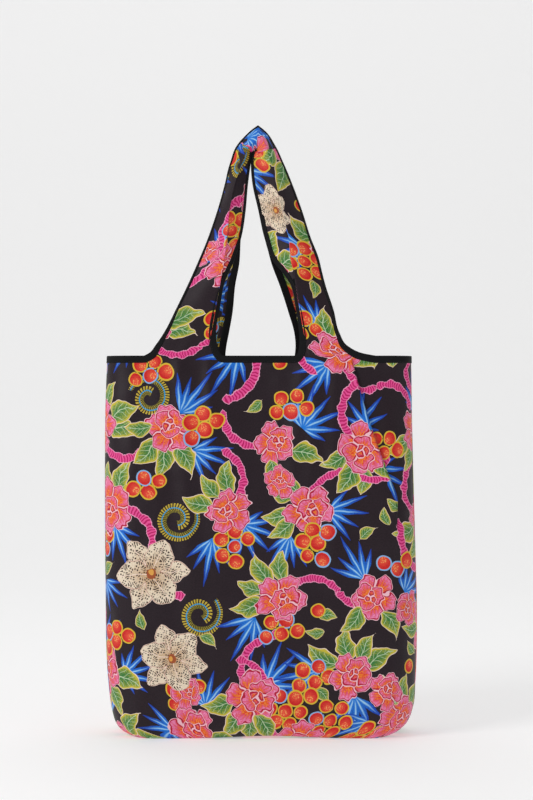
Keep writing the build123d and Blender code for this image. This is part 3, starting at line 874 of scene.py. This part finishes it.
def panel_grid(side_x, side_y):
    """Rows of points up one half of the front or back, with the flat pattern's u and v at each."""
    rows, flats = [], []
    for step in range(PANEL_ROWS + 1):
        z = RIM * step / PANEL_ROWS
        runs, flat, lift = panel_lines(side_x, side_y, z)
        heights = np.full_like(runs, z)
        points, normal = section_point(side_x, side_y, runs, heights)
        out = fold_height(side_y, side_x * runs, heights)
        out += crumple(points, 46.0, 1.8) + crumple(points, 19.0, 0.7)
        edge = np.clip((runs[-1] - runs) / 16, 0, 1)
        foot = np.clip(z / 14, 0, 1)
        rim = 1 - 0.75 * np.clip((z - RIM + 22) / 22, 0, 1)
        points += normal * (out * edge * foot * rim + lift)[:, None]
        points[:, 2] += 3.4 * bell(points[:, 0], 14, 62) * np.clip(1 - z / 45, 0, 1) ** 2
        rows.append(points)
        flats.append(np.stack([side_x * flat, heights], -1))
    return np.array(rows), np.array(flats)


def build_sheet(name, points, faces, flat):
    """A mesh of one cloth piece, in metres, with its flat pattern as the UV map."""
    mesh = bpy.data.meshes.new(name)
    mesh.from_pydata((np.asarray(points) / 1000).tolist(), [], faces)
    layer = mesh.uv_layers.new(name="flat")
    index = np.zeros(len(mesh.loops), np.int32)
    mesh.loops.foreach_get("vertex_index", index)
    layer.data.foreach_set("uv", (np.asarray(flat, np.float32)[index] / 1000).ravel())
    mesh.shade_smooth()
    piece = bpy.data.objects.new(name, mesh)
    bpy.context.scene.collection.objects.link(piece)
    return piece


def thicken(piece, thick=CLOTH_THICK):
    """Gives a sheet its thickness, inwards."""
    solid = piece.modifiers.new("cloth", "SOLIDIFY")
    solid.thickness = thick / 1000
    solid.offset = -1
    solid.use_rim = True
    graph = bpy.context.evaluated_depsgraph_get()
    graph.update()
    solved = piece.evaluated_get(graph)
    mesh = bpy.data.meshes.new_from_object(solved, preserve_all_data_layers=True, depsgraph=graph)
    piece.modifiers.clear()
    piece.data = mesh
    mesh.name = piece.name


def number_grid(shape, start=0):
    """Vertex numbers for rows of points, one row after another."""
    return start + np.arange(shape[0] * shape[1]).reshape(shape[:2])


def grid_faces(index, flip):
    """Quads over a grid of vertex numbers."""
    a, b, c, d = index[:-1, :-1], index[:-1, 1:], index[1:, 1:], index[1:, :-1]
    quads = np.stack([a, d, c, b] if flip else [a, b, c, d], -1).reshape(-1, 4)
    return quads.tolist()


def print_on(piece, low, high, lot, lilies=()):
    """Prints a piece of cloth, with figures between two corners of its flat pattern."""
    PrintPlan(low, high, lot, lilies).stamp(piece.data)
    piece.data.materials.append(PRINTED)


def printed_sheet(name, grid, flat, flip, low, high, lot):
    """A printed piece of cloth from rows of points and their places on its flat pattern."""
    faces = grid_faces(number_grid(grid.shape), flip)
    piece = build_sheet(name, grid.reshape(-1, 3), faces, np.reshape(flat, (-1, 2)))
    print_on(piece, low, high, lot)
    return piece


def cloth_points(mesh, numbers):
    """Where some of a mesh's vertices lie, in millimetres."""
    return np.array([mesh.vertices[i].co[:] for i in numbers]) * 1000


def cloth_normals(mesh, numbers):
    """Which way some of a mesh's vertices face."""
    return np.array([mesh.vertices[i].normal[:] for i in numbers])


def cad_box(node):
    """The lowest and the highest corner of a CAD node, in millimetres."""
    return [np.array(corner) * 1000 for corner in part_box(node)]


def bend_over_rim(piece):
    """Bakes the placement of a piece that runs from the bag up the straps into its mesh."""
    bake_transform(piece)


# ---- Front and back ------------------------------------------------------------------------------
# Each is one cut of cloth: a panel with two straps left standing, gathered in and joined end to end at
# the top. The straps are creased along their length, with the inner half turned in.


def build_side(name, side_y, lot, lilies):
    """The cloth of the front or back as a sheet, the edges that its tapes cover, and the vertex numbers of
    the panel's halves and of the straps."""
    points, flats, faces = [], [], []

    def add_rows(rows, flat):
        index = number_grid(rows.shape, len(points))
        points.extend(rows.reshape(-1, 3))
        flats.extend(np.reshape(flat, (-1, 2)))
        return index

    halves = {}
    for side_x in (-1, 1):
        grid, flat = panel_grid(side_x, side_y)
        if side_x < 0:
            halves[side_x] = add_rows(grid, flat)
        else:
            index = add_rows(grid[:, 1:], flat[:, 1:])
            halves[side_x] = np.concatenate([halves[-1][:, :1], index], 1)
        faces += grid_faces(halves[side_x], side_x * side_y > 0)
    straps = {}
    steps = np.arange(STRAP_ROWS + 1)
    fade = np.clip(1 - steps / 22, 0, 1)[:, None, None] ** 2
    lift = np.clip(steps / 20, 0, 1) * np.clip((STRAP_ROWS - steps) / 12, 0, 1)
    for side_x in (-1, 1):
        strap, cuts, length = strap_grid(side_x, side_y)
        foot = halves[side_x][-1, HALF_NECK_CUTS:HALF_NECK_CUTS + strap.shape[1]][::-1]
        foot_points = np.array([points[i] for i in foot])
        strap = strap + (foot_points - strap[0]) * fade
        grain = np.array([noise(Vector(p) / 30.0) for p in strap.reshape(-1, 3)]).reshape(strap.shape[:2])
        strap[..., 1] += side_y * (grain * lift[:, None]) * 1.6
        middle = np.mean([flats[i][0] for i in foot])
        along = RIM + np.linspace(0, length, STRAP_ROWS + 1)
        flat = np.stack([middle - side_x * cuts, np.broadcast_to(along[:, None], cuts.shape)], -1)
        straps[side_x] = np.concatenate([foot[None, :], add_rows(strap[1:], flat[1:])])
        faces += grid_faces(straps[side_x], side_x * side_y < 0)
    piece = build_sheet(name, points, faces, flats)
    print_on(piece, (-225, -10), (240, 830), lot, lilies)
    left_rim, right_rim = halves[-1][-1], halves[1][-1]
    left_foot, right_foot = (HALF_NECK_CUTS + straps[side_x].shape[1] - 1 for side_x in (-1, 1))
    outer = [left_rim[left_foot:][::-1], straps[-1][1:, 0],
             straps[1][:-1, 0][::-1], right_rim[right_foot + 1:]]
    inner = [straps[-1][:, -1], straps[1][1:-1, -1][::-1],
             right_rim[:HALF_NECK_CUTS + 1][::-1], left_rim[1:HALF_NECK_CUTS]]
    edges = {"outer": np.concatenate(outer), "inner": np.concatenate(inner)}
    return piece, edges, halves, straps


# The front's or back's cloth as a plain sheet, the edges its tapes cover, and the vertex numbers of its
# panel halves and straps.
Side = namedtuple("Side", "mesh edges halves straps")
sides = {}
for side_name, side_y, lot, lilies in (
    ("front", -1, 11, ((-138, 212, 1.0), (-112, 104, 0.92), (74, 690, 0.7))),
    ("back", 1, 23, ((120, 190, 1.0), (-60, 330, 0.9))),
):
    piece, edges, halves, straps = build_side(f"{side_name}_cloth", side_y, lot, lilies)
    sides[side_name] = Side(piece.data.copy(), edges, halves, straps)
    thicken(piece)
    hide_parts(f"{side_name}_panel", f"{side_name}_strap_left", f"{side_name}_strap_right")
    bend_over_rim(piece)

# ---- Gussets and base ----------------------------------------------------------------------------
# A strip of the same cloth down each side, sewn to the front and back just round the corners, and a base.


def build_gusset(name, side_x, lot):
    """One gusset's cloth, from the front's seam round to the back's, tucked in towards the rim."""
    rows, flats = [], []
    shares = np.linspace(0, 1, GUSSET_CUTS + 1)
    for step in range(PANEL_ROWS + 1):
        z = np.full(GUSSET_CUTS + 1, RIM * step / PANEL_ROWS)
        depth, corner = form_at(z[:1])[0, 2:]
        start = seam_run(side_x, z[:1])[0]
        full = start + 2 * (corner * SEAM_TURN + (depth - corner))
        runs = start + (full - start) * shares
        front, normal_front = section_point(side_x, -1, runs, z)
        back, normal_back = section_point(side_x, 1, start + full - runs, z)
        half = (shares < 0.5)[:, None]
        points = np.where(half, front, back)
        normal = np.where(half, normal_front, normal_back)
        tuck = np.sin(math.pi * shares) ** 2
        high = np.clip((z - 120) / 360, 0, 1)
        out = -5.0 * tuck * high + crumple(points, 40.0, 1.2) * tuck
        points = points + normal * out[:, None]
        rows.append(points)
        flats.append(np.stack([(shares - 0.5) * 64 * side_x, z], -1))
    return printed_sheet(name, np.array(rows), flats, side_x < 0, (-60, -10), (60, 500), lot)


gusset_sheets = {}
for name, side_x, lot in (("left_gusset", -1, 5), ("right_gusset", 1, 8)):
    piece = build_gusset(f"{name}_cloth", side_x, lot)
    gusset_sheets[side_x] = piece.data.copy()
    thicken(piece)
    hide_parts(name)
    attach(piece, "bag")


def build_base():
    """The base's cloth, which hangs between the bottom edges of the front and back."""
    across, deep = 120, 34
    edges = []
    for side in sides.values():
        edge = cloth_points(side.mesh, np.concatenate([side.halves[-1][0][::-1], side.halves[1][0][1:]]))
        run = run_along(edge)
        edges.append(resample(edge, run, np.linspace(0, run[-1], across + 1)))
    front, back = edges
    shares = (1 - np.cos(np.linspace(0, math.pi, deep + 1))) / 2
    grid = np.array([front + (back - front) * share for share in shares])
    grid[:, 0, 0] -= np.sin(shares * math.pi)
    grid[:, -1, 0] += np.sin(shares * math.pi)
    inner = np.outer(np.sin(shares * math.pi), np.sin(np.linspace(0, math.pi, across + 1)))
    uneven = np.array([[noise(Vector(p) / 40) for p in row] for row in grid])
    grid[..., 2] = 0.45 + inner * (0.6 + uneven * 0.5)
    grid[..., 2] += np.outer((1 - shares) ** 5, front[:, 2]) + np.outer(shares**5, back[:, 2])
    return printed_sheet("base_cloth", grid, grid[..., :2], True, (-185, -70), (185, 70), 31)


base = build_base()
thicken(base)
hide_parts("base_panel")
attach(base, "bag")

# ---- Edge tapes ----------------------------------------------------------------------------------
# Matt black ready-folded tape, about 9 mm wide when folded, sewn over every raw edge of the rim and of
# the straps.


def black_tape():
    """The tape's material: ribs across it and a light speckle."""
    tape, tree, shader = new_material("black_tape")
    pattern, _, up = flat_pattern(tree)
    rib = (up * (2 * math.pi / 0.0009)).sine()
    grain = Ink(tree, speckle(tree, pattern, 700.0).outputs["Fac"])
    shade = (rib * 0.25 + grain).ramp(0.2, 1.0)
    tree.links.new(paint(tree, dye("08080a"), dye("151517"), shade), shader.inputs["Base Color"])
    shader.inputs["Roughness"].default_value = 0.7
    shader.inputs["Specular IOR Level"].default_value = 0.16
    shader.inputs["Sheen Weight"].default_value = 0.02
    emboss(tree, shader, shade, 0.35, 0.0003)
    return tape


BLACK_TAPE = black_tape()


def skin_tape(name, rings, line, pitch, closed):
    """A length of tape from a ring of points round it at each point of a line."""
    count, around = rings.shape[:2]
    index = number_grid(rings.shape)
    index = np.concatenate([index, index[:, :1]], 1)
    faces = grid_faces(np.concatenate([index, index[:1]]) if closed else index, False)
    if not closed:
        faces += [index[0, :-1].tolist(), index[-1, :-1][::-1].tolist()]
    run = run_along(line)
    flat = [(k * pitch, run[i]) for i in range(count) for k in range(around)]
    piece = build_sheet(name, rings.reshape(-1, 3), faces, flat)
    outwards = bmesh.new()
    outwards.from_mesh(piece.data)
    bmesh.ops.recalc_face_normals(outwards, faces=outwards.faces)
    outwards.to_mesh(piece.data)
    outwards.free()
    piece.data.materials.append(BLACK_TAPE)
    return piece


def into_cloth(cloth_mesh, edge, line, normals, closed):
    """The direction from each point of an edge into the cloth, square to the edge."""
    turns = np.roll(line, -1, 0) - np.roll(line, 1, 0)
    if not closed:
        turns[0], turns[-1] = line[1] - line[0], line[-1] - line[-2]
    neighbours = {i: [] for i in edge}
    for poly in cloth_mesh.polygons:
        for vertex in poly.vertices:
            if vertex in neighbours:
                neighbours[vertex].append(np.array(poly.center[:]) * 1000)
    inwards = []
    for k, vertex in enumerate(edge):
        towards = np.mean(neighbours[vertex], 0) - line[k]
        cross = np.cross(normals[k], turns[k] / np.linalg.norm(turns[k]))
        cross *= 1 if np.dot(cross, towards) > 0 else -1
        inwards.append(cross / np.linalg.norm(cross))
    inwards = np.array(inwards)
    for _ in range(3):
        evened = (np.roll(inwards, 1, 0) + inwards * 2 + np.roll(inwards, -1, 0)) / 4
        if not closed:
            evened[0], evened[-1] = inwards[0], inwards[-1]
        inwards = evened / np.linalg.norm(evened, axis=1)[:, None]
    return inwards


def fold_tape(name, cloth_mesh, edge, closed, shown=None, width=8.6, lift=0.75):
    """A tape folded over an edge of a cloth mesh, and the line that its stitches follow. edge is the
    vertex numbers along it, in order, and shown says how wide the tape shows on the outside at a point,
    where the edge rolls inwards."""
    corners = [vertex.co * 1000 for vertex in cloth_mesh.vertices]
    tree = BVHTree.FromPolygons(corners, [poly.vertices[:] for poly in cloth_mesh.polygons])
    line, normals = cloth_points(cloth_mesh, edge), cloth_normals(cloth_mesh, edge)
    inwards = into_cloth(cloth_mesh, edge, line, normals, closed)
    section = ((1.0, 0.12), (0.96, lift), (0.66, lift), (0.33, lift * 1.05), (0.05, lift * 1.05))
    rings, seam = [], []
    for k in range(len(edge)):
        front, rear = [], []
        wide = width if shown is None else shown(line[k])
        for step, height in section:
            for side, reach_in in ((front, wide * step), (rear, width * step)):
                spot, normal, _, _ = tree.find_nearest(Vector(line[k] + inwards[k] * reach_in))
                normal = normal if normal.dot(Vector(normals[k])) > 0 else -normal
                out = height if side is front else -height - CLOTH_THICK
                side.append(np.array(spot + normal * out))
        seam.append(front[1] * 0.62 + front[2] * 0.38 + normals[k] * 0.1)
        nose = line[k] - inwards[k] * 0.8
        tip = [nose + normals[k] * lift * 0.55, nose - normals[k] * (lift * 0.55 + CLOTH_THICK)]
        rings.append(front + tip + rear[::-1])
    piece = skin_tape(name, np.array(rings), line, 2.0, closed)
    return piece, np.array(seam + seam[:1] if closed else seam)


def shown_outside(spot):
    """The armholes' tape shows whole along the rim, and only as an edge up the straps."""
    return float(np.interp(spot[2], (493, 512, 545), (8.6, 4.2, 1.7)))


def shown_inside(spot):
    """The neck's tape rolls under as the straps rise, more so on the left."""
    heights, widths = ((560, 640), (8.4, 2.2)) if spot[0] < 0 else ((500, 560), (8.4, 5.2))
    return float(np.interp(spot[2], heights, widths))


tape_seams = {}
for side_name, side_y in (("front", -1), ("back", 1)):
    mesh, edges = sides[side_name].mesh, sides[side_name].edges
    outer, outer_seam = fold_tape(f"{side_name}_outer_tape", mesh, edges["outer"], False, shown_outside)
    inner, inner_seam = fold_tape(f"{side_name}_inner_tape", mesh, edges["inner"], True, shown_inside)
    tape_seams[side_name] = [outer_seam, inner_seam]
    for piece, nodes in ((outer, (f"{side_name}_outer_binding",)),
                         (inner, (f"{side_name}_inner_binding", f"{side_name}_neck_binding"))):
        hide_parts(*nodes)
        bend_over_rim(piece)

for name, side_x in (("left", -1), ("right", 1)):
    mesh = gusset_sheets[side_x]
    top_row = np.arange(len(mesh.vertices))[-(GUSSET_CUTS + 1):]
    piece, seam = fold_tape(f"{name}_gusset_tape", mesh, top_row, False)
    tape_seams[name] = [seam]
    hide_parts(f"{name}_armhole_binding")
    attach(piece, "bag")

# ---- Stitching -----------------------------------------------------------------------------------
# One row of black lockstitch, 3.2 mm to the stitch, a little in from the inner edge of every folded
# tape.


def lockstitch():
    """Geometry Nodes that set one stitch after another along a curve."""
    tree = bpy.data.node_groups.new("lockstitch", "GeometryNodeTree")
    sockets = {"Seam": "NodeSocketGeometry", "Stitch pitch": "NodeSocketFloat",
               "Stitch length": "NodeSocketFloat", "Thread thickness": "NodeSocketFloat",
               "Thread": "NodeSocketMaterial"}
    for label, kind in sockets.items():
        tree.interface.new_socket(label, in_out="INPUT", socket_type=kind)
    tree.interface.new_socket("Stitches", in_out="OUTPUT", socket_type="NodeSocketGeometry")
    came, goes = tree.nodes.new("NodeGroupInput"), tree.nodes.new("NodeGroupOutput")
    spaced = tree.nodes.new("GeometryNodeCurveToPoints")
    spaced.mode = "LENGTH"
    bead = tree.nodes.new("GeometryNodeMeshUVSphere")
    bead.inputs["Segments"].default_value = 6
    bead.inputs["Rings"].default_value = 4
    bead.inputs["Radius"].default_value = 0.5
    size = tree.nodes.new("ShaderNodeCombineXYZ")
    place = tree.nodes.new("GeometryNodeInstanceOnPoints")
    real = tree.nodes.new("GeometryNodeRealizeInstances")
    dyed = tree.nodes.new("GeometryNodeSetMaterial")
    link = tree.links.new
    link(came.outputs["Seam"], spaced.inputs["Curve"])
    link(came.outputs["Stitch pitch"], spaced.inputs["Length"])
    link(came.outputs["Thread thickness"], size.inputs["X"])
    link(came.outputs["Thread thickness"], size.inputs["Y"])
    link(came.outputs["Stitch length"], size.inputs["Z"])
    link(spaced.outputs["Points"], place.inputs["Points"])
    link(spaced.outputs["Rotation"], place.inputs["Rotation"])
    link(bead.outputs["Mesh"], place.inputs["Instance"])
    link(size.outputs[0], place.inputs["Scale"])
    link(place.outputs["Instances"], real.inputs["Geometry"])
    link(real.outputs["Geometry"], dyed.inputs["Geometry"])
    link(came.outputs["Thread"], dyed.inputs["Material"])
    link(dyed.outputs["Geometry"], goes.inputs["Stitches"])
    return tree


def black_thread():
    """The thread's material, with its twist."""
    thread, tree, shader = new_material("black_thread")
    place = tree.nodes.new("ShaderNodeTexCoord")
    twist = tree.nodes.new("ShaderNodeTexWave")
    twist.inputs["Scale"].default_value = 900.0
    tree.links.new(place.outputs["Object"], twist.inputs["Vector"])
    colour = paint(tree, dye("101012"), dye("2b2b2f"), Ink(tree, twist.outputs["Fac"]))
    tree.links.new(colour, shader.inputs["Base Color"])
    shader.inputs["Roughness"].default_value = 0.5
    shader.inputs["Specular IOR Level"].default_value = 0.3
    return thread


LOCKSTITCH = lockstitch()
THREAD = black_thread()


def sew(name, seams, pitch=3.2, length=2.5, thickness=0.42):
    """Stitches along one or more lines of points, given in millimetres."""
    curve = bpy.data.curves.new(name, "CURVE")
    curve.dimensions = "3D"
    for line in seams:
        spline = curve.splines.new("POLY")
        spline.points.add(len(line) - 1)
        spline.points.foreach_set("co", np.c_[np.asarray(line) / 1000, np.ones(len(line))].ravel())
    row = bpy.data.objects.new(name, curve)
    bpy.context.scene.collection.objects.link(row)
    stitching = row.modifiers.new("lockstitch", "NODES")
    stitching.node_group = LOCKSTITCH
    settings = {"Stitch pitch": pitch / 1000, "Stitch length": length / 1000,
                "Thread thickness": thickness / 1000, "Thread": THREAD}
    for item in LOCKSTITCH.interface.items_tree:
        if item.in_out == "INPUT" and item.name in settings:
            stitching[item.identifier] = settings[item.name]
    graph = bpy.context.evaluated_depsgraph_get()
    graph.update()
    mesh = bpy.data.meshes.new_from_object(row.evaluated_get(graph), depsgraph=graph)
    bpy.data.objects.remove(row)
    mesh.shade_smooth()
    piece = bpy.data.objects.new(name, mesh)
    bpy.context.scene.collection.objects.link(piece)
    return piece


for side_name, side_y in (("front", -1), ("back", 1)):
    bend_over_rim(sew(f"{side_name}_stitches", tape_seams[side_name]))
for name in ("left", "right"):
    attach(sew(f"{name}_gusset_stitches", tape_seams[name]), "bag")

# ---- Joins at the top of the straps --------------------------------------------------------------
# The two straps of a handle are sewn end to end. A narrow patch of the same cloth laps over the join.


# How many rows the patch reaches down each strap, and how many quads it is divided into across.
JOIN_REACH = 7
JOIN_CUTS = 30


def build_join(name, side_y):
    """The patch over a handle's join, and its points in rows."""
    side, points = sides[name], []
    spread = np.linspace(0.09, 0.91, JOIN_CUTS + 1)
    for row in range(-JOIN_REACH, JOIN_REACH + 1):
        numbers = side.straps[-1][row - 1] if row < 0 else side.straps[1][-1 - row]
        run = np.linspace(0, 1, len(numbers))
        line = resample(cloth_points(side.mesh, numbers), run, spread)
        normal = resample(cloth_normals(side.mesh, numbers), run, spread)
        points.append(line + normal * (0.45 if abs(row) < JOIN_REACH else 0.1))
    grid = np.array(points)
    step = np.linalg.norm(np.diff(grid[:, JOIN_CUTS // 2], axis=0), axis=1).mean()
    up = np.arange(-JOIN_REACH, JOIN_REACH + 1) * step + 400
    flat = np.stack(np.meshgrid(np.linspace(-15, 15, JOIN_CUTS + 1), up), -1)
    piece = printed_sheet(f"{name}_join_cloth", grid, flat, side_y > 0, (-40, 350), (40, 450), 77)
    return piece, grid


for side_name, side_y in (("front", -1), ("back", 1)):
    piece, grid = build_join(side_name, side_y)
    thicken(piece)
    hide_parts(f"{side_name}_top_seam")
    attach(piece, f"{side_name}_handle")

# ---- Bound seams inside --------------------------------------------------------------------------
# The seam allowances of the four corners and of the base stand inwards, bound in the same black tape.


def ribbon(name, line, inwards, high, thick, closed=False):
    """A flat ribbon standing off a line, with soft edges. inwards is its direction at each point."""
    line, inwards = np.asarray(line, float), np.asarray(inwards, float)
    along = np.gradient(line, axis=0)
    side = np.cross(along, inwards)
    side /= np.linalg.norm(side, axis=1)[:, None]
    outline = ((0.0, -0.3), (0.15, -0.5), (0.85, -0.5), (0.97, -0.32), (1.0, 0.0),
               (0.97, 0.32), (0.85, 0.5), (0.15, 0.5), (0.0, 0.3))
    rings = np.stack([line + inwards * high * a + side * thick * b for a, b in outline], 1)
    return skin_tape(name, rings, line, 1.6, closed)


for side_name, side_y in (("front", -1), ("back", 1)):
    side = sides[side_name]
    for name, side_x in (("left", -1), ("right", 1)):
        seam = cloth_points(side.mesh, side.halves[side_x][:, -1])
        seam = seam[(seam[:, 2] > 14) & (seam[:, 2] < 474)]
        heading = np.array([-side_x * 0.93, -side_y * 0.36, 0])
        sway = np.sin(seam[:, 2] / 23)[:, None] * np.array([0, 0.12, 0]) + heading
        piece = ribbon(f"{side_name}_{name}_seam_ribbon", seam + heading * 0.9, sway, 6.4, 1.3)
        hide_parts(f"{side_name}_{name}_seam_tape")
        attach(piece, "bag")


def base_line(count, half_width, half_depth):
    """A line round the base, close to its seam, that rises where the bottom edges do."""
    turn = np.linspace(0, 2 * math.pi, count + 1)[:-1]
    circle = np.stack([np.cos(turn), np.sin(turn)], -1)
    square = np.sign(circle) * np.abs(circle) ** 0.42
    rise = 3.0 * bell(square[:, 0] * half_width, 14, 62) * abs(square[:, 1]) ** 4
    return np.c_[square * (half_width, half_depth), 2.2 + rise]


base_round = base_line(96, 159.0, 44.0)
upwards = np.tile((0.0, 0.0, 1.0), (len(base_round), 1))
base_seam = ribbon("base_seam_ribbon", base_round, upwards, 6.0, 1.2, closed=True)
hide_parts("base_seam_tape")
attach(base_seam, "bag")

# ---- Care label ----------------------------------------------------------------------------------
# A blank loop of white satin ribbon, 28 by 46 mm, caught in a seam inside the left gusset.


def label_satin():
    """The label's material: fine ribs across, and a line woven down each edge."""
    satin, tree, shader = new_material("label_satin")
    _, across, up = flat_pattern(tree)
    rib = (up * (2 * math.pi / 0.0007)).sine()
    shade = (abs(across) > 0.0128).most((rib * 0.2 + 0.1).most(0.0))
    tree.links.new(paint(tree, dye("e9e8e4"), dye("d2d0c8"), shade), shader.inputs["Base Color"])
    shader.inputs["Roughness"].default_value = 0.32
    emboss(tree, shader, rib, 0.2, 0.0002)
    return satin


def build_label():
    """The label's ribbon, which curls off the gusset towards its lower end."""
    low, high = cad_box("care_label")
    middle = (low + high) / 2
    y, z = np.meshgrid(np.linspace(low[1], high[1], 15), np.linspace(low[2], high[2], 24))
    hang = 1 - (z - low[2]) / (high[2] - low[2])
    x = middle[0] + 2.6 + 2.2 * hang**2 + 0.5 * np.sin(y / 6) * hang
    grid = np.stack([x, y, z], -1)
    flat = np.stack([y - middle[1], z - middle[2]], -1)
    faces = grid_faces(number_grid(grid.shape), False)
    piece = build_sheet("care_label_ribbon", grid.reshape(-1, 3), faces, flat.reshape(-1, 2))
    piece.data.materials.append(label_satin())
    return piece


label = build_label()
thicken(label, 0.3)
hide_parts("care_label")
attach(label, "bag")

# ---- Stow pouch ----------------------------------------------------------------------------------
# A flat pouch of the printed cloth, which the bag folds into. Its front is gathered in at the sides and
# bottom to a back of the same cloth, and it hangs inside the back panel on a loop of black tape.


def eased(t):
    """Even steps from -1 to 1, drawn closer together towards both ends."""
    return t * (1.5 - 0.5 * t * t)


def corner_cut(part):
    """How far in a quarter circle's side lies, from 0 at its start to nearly 1 at its end."""
    return 1 - np.sqrt(1 - part**2 * 0.999)


def build_pouch_front():
    """The pouch's front, full in the middle, creased, and gathered along its bottom."""
    low, high = cad_box("pouch_front")
    across, up = np.meshgrid(eased(np.linspace(-1, 1, 61)), 1 - eased(np.linspace(1, 0, 61)))
    x = across * (high[0] - 0.3 - 9 * corner_cut(np.clip((0.16 - up) / 0.16, 0, 1)))
    z = low[2] + up * (high[2] - low[2])
    room = high[1] - low[1]
    side = (1 - np.abs(across) ** 8) ** 0.5
    bottom = (1 - (1 - up) ** 14) ** 0.5
    depth = (room - 0.4) * side * bottom
    crease = np.array([noise(Vector((a * 2.2, b * 2.6, 3.0))) for a, b in zip(across.ravel(), up.ravel())])
    depth += crease.reshape(depth.shape) * 1.1 * side * bottom * np.clip((1 - up) * 6, 0, 1)
    gather = np.cos(x / 4.2) * 0.6 * np.exp(-(up / 0.07) ** 2) * side
    grid = np.stack([x, high[1] - np.clip(depth + gather, 0, room), z], -1)
    flat = np.stack([x * 1.12, z], -1)
    return printed_sheet("pouch_front_cloth", grid, flat, False, (-80, 300), (80, 470), 41)


def build_pouch_back():
    """The pouch's back, a flat cut of cloth with its two lower corners rounded."""
    low, high = cad_box("pouch_back")
    rounded, tall = 10.0, high[2] - low[2]
    across, up = np.meshgrid(np.linspace(-1, 1, 41), np.linspace(0, 1, 41))
    corner = np.clip((rounded / tall - up) / (rounded / tall), 0, 1)
    x = across * (high[0] - 0.3 - rounded * corner_cut(corner))
    z = low[2] + up * tall
    y = (low[1] + high[1]) / 2 + 0.25 * np.sin(x / 13 + z / 17)
    flat = np.stack([x, z], -1)
    grid = np.stack([x, y, z], -1)
    return printed_sheet("pouch_back_cloth", grid, flat, True, (-80, 300), (80, 480), 43)


def build_pouch_loop():
    """The loop's tape, which runs up from the pouch to the back panel."""
    low, high = cad_box("pouch_loop")
    z = np.linspace(low[2], high[2], 18)
    line = np.c_[np.full_like(z, low[0]), (low[1] + high[1]) / 2 + 0.2 * np.sin(z / 5), z]
    across = np.tile((1.0, 0.0, 0.0), (len(z), 1))
    return ribbon("pouch_loop_ribbon", line, across, high[0] - low[0], 0.8)


pouch_front = build_pouch_front()
thicken(pouch_front)
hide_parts("pouch_front")
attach(pouch_front, "pouch")

pouch_back = build_pouch_back()
thicken(pouch_back)
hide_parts("pouch_back")
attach(pouch_back, "pouch")

loop = build_pouch_loop()
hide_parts("pouch_loop")
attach(loop, "pouch")

# ---- Pouch flap and press stud -------------------------------------------------------------------
# The flap is folded over the pouch's top and taped round its free edge. A black lacquered press stud
# holds it.

# Rows of cloth over the pouch's top, round the bend, and down the front.
FLAP_OVER_ROWS = 10
FLAP_BEND_ROWS = 6
FLAP_DOWN_ROWS = 34


def build_flap():
    """The flap's cloth, from its back edge over the pouch's top and down the front, and its vertex
    numbers."""
    low, high = cad_box("pouch_flap")
    back_y, face_y, crown, drop = high[1], low[1] + 0.6, high[2] - 0.5, low[2]
    bend, rounded = 3.0, 14
    profile = [(y, crown) for y in np.linspace(back_y, face_y + bend, FLAP_OVER_ROWS)]
    for angle in np.linspace(0.2, 1.4, FLAP_BEND_ROWS):
        profile.append((face_y + bend - bend * math.sin(angle), crown - bend + bend * math.cos(angle)))
    profile += [(face_y, z) for z in np.linspace(crown - bend, drop, FLAP_DOWN_ROWS)]
    across = np.linspace(-1, 1, 49)
    rows, flats = [], []
    for k, ((y, z), run) in enumerate(zip(profile, run_along(profile))):
        down = k > FLAP_OVER_ROWS + FLAP_BEND_ROWS
        corner = min(max((drop + rounded - z) / rounded, 0), 1) if down else 0
        x = across * (high[0] - 0.3 - rounded * corner_cut(corner))
        swell = 0.35 * np.cos(x / 15) * min(max((crown - z) / 12, 0), 1)
        rows.append(np.stack([x, y + swell, np.full_like(x, z)], -1))
        flats.append(np.stack([x, np.full_like(x, -run)], -1))
    grid = np.array(rows)
    piece = printed_sheet("pouch_flap_cloth", grid, flats, True, (-70, -70), (70, 10), 47)
    return piece, number_grid(grid.shape)


flap, flap_index = build_flap()
flap_sheet = flap.data.copy()
thicken(flap)
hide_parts("pouch_flap")
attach(flap, "flap")
hanging = flap_index[FLAP_OVER_ROWS + FLAP_BEND_ROWS + 1:]
free_edge = np.concatenate([hanging[:, 0], hanging[-1, 1:-1], hanging[:, -1][::-1]])
flap_tape, flap_seam = fold_tape("pouch_flap_tape", flap_sheet, free_edge, False, None, 5.0, 0.5)
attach(flap_tape, "flap")
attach(sew("pouch_flap_stitches", [flap_seam]), "flap")


def snap_lacquer():
    """The press stud's material: black lacquer, worn in spots."""
    lacquer, tree, shader = new_material("snap_metal")
    place = tree.nodes.new("ShaderNodeTexCoord")
    wear = speckle(tree, place.outputs["Object"], 420.0)
    worn = Ink(tree, wear.outputs["Fac"]).ramp(0.62, 0.74)
    tree.links.new(paint(tree, dye("1a1a1d"), dye("4b4b50"), worn), shader.inputs["Base Color"])
    tree.links.new((worn * 0.2 + 0.28).socket, shader.inputs["Roughness"])
    shader.inputs["Metallic"].default_value = 0.6
    return lacquer


LACQUER = snap_lacquer()
for node in ("snap_stud", "snap_post", "snap_socket", "snap_cap"):
    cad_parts[node].data.materials.clear()
    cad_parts[node].data.materials.append(LACQUER)
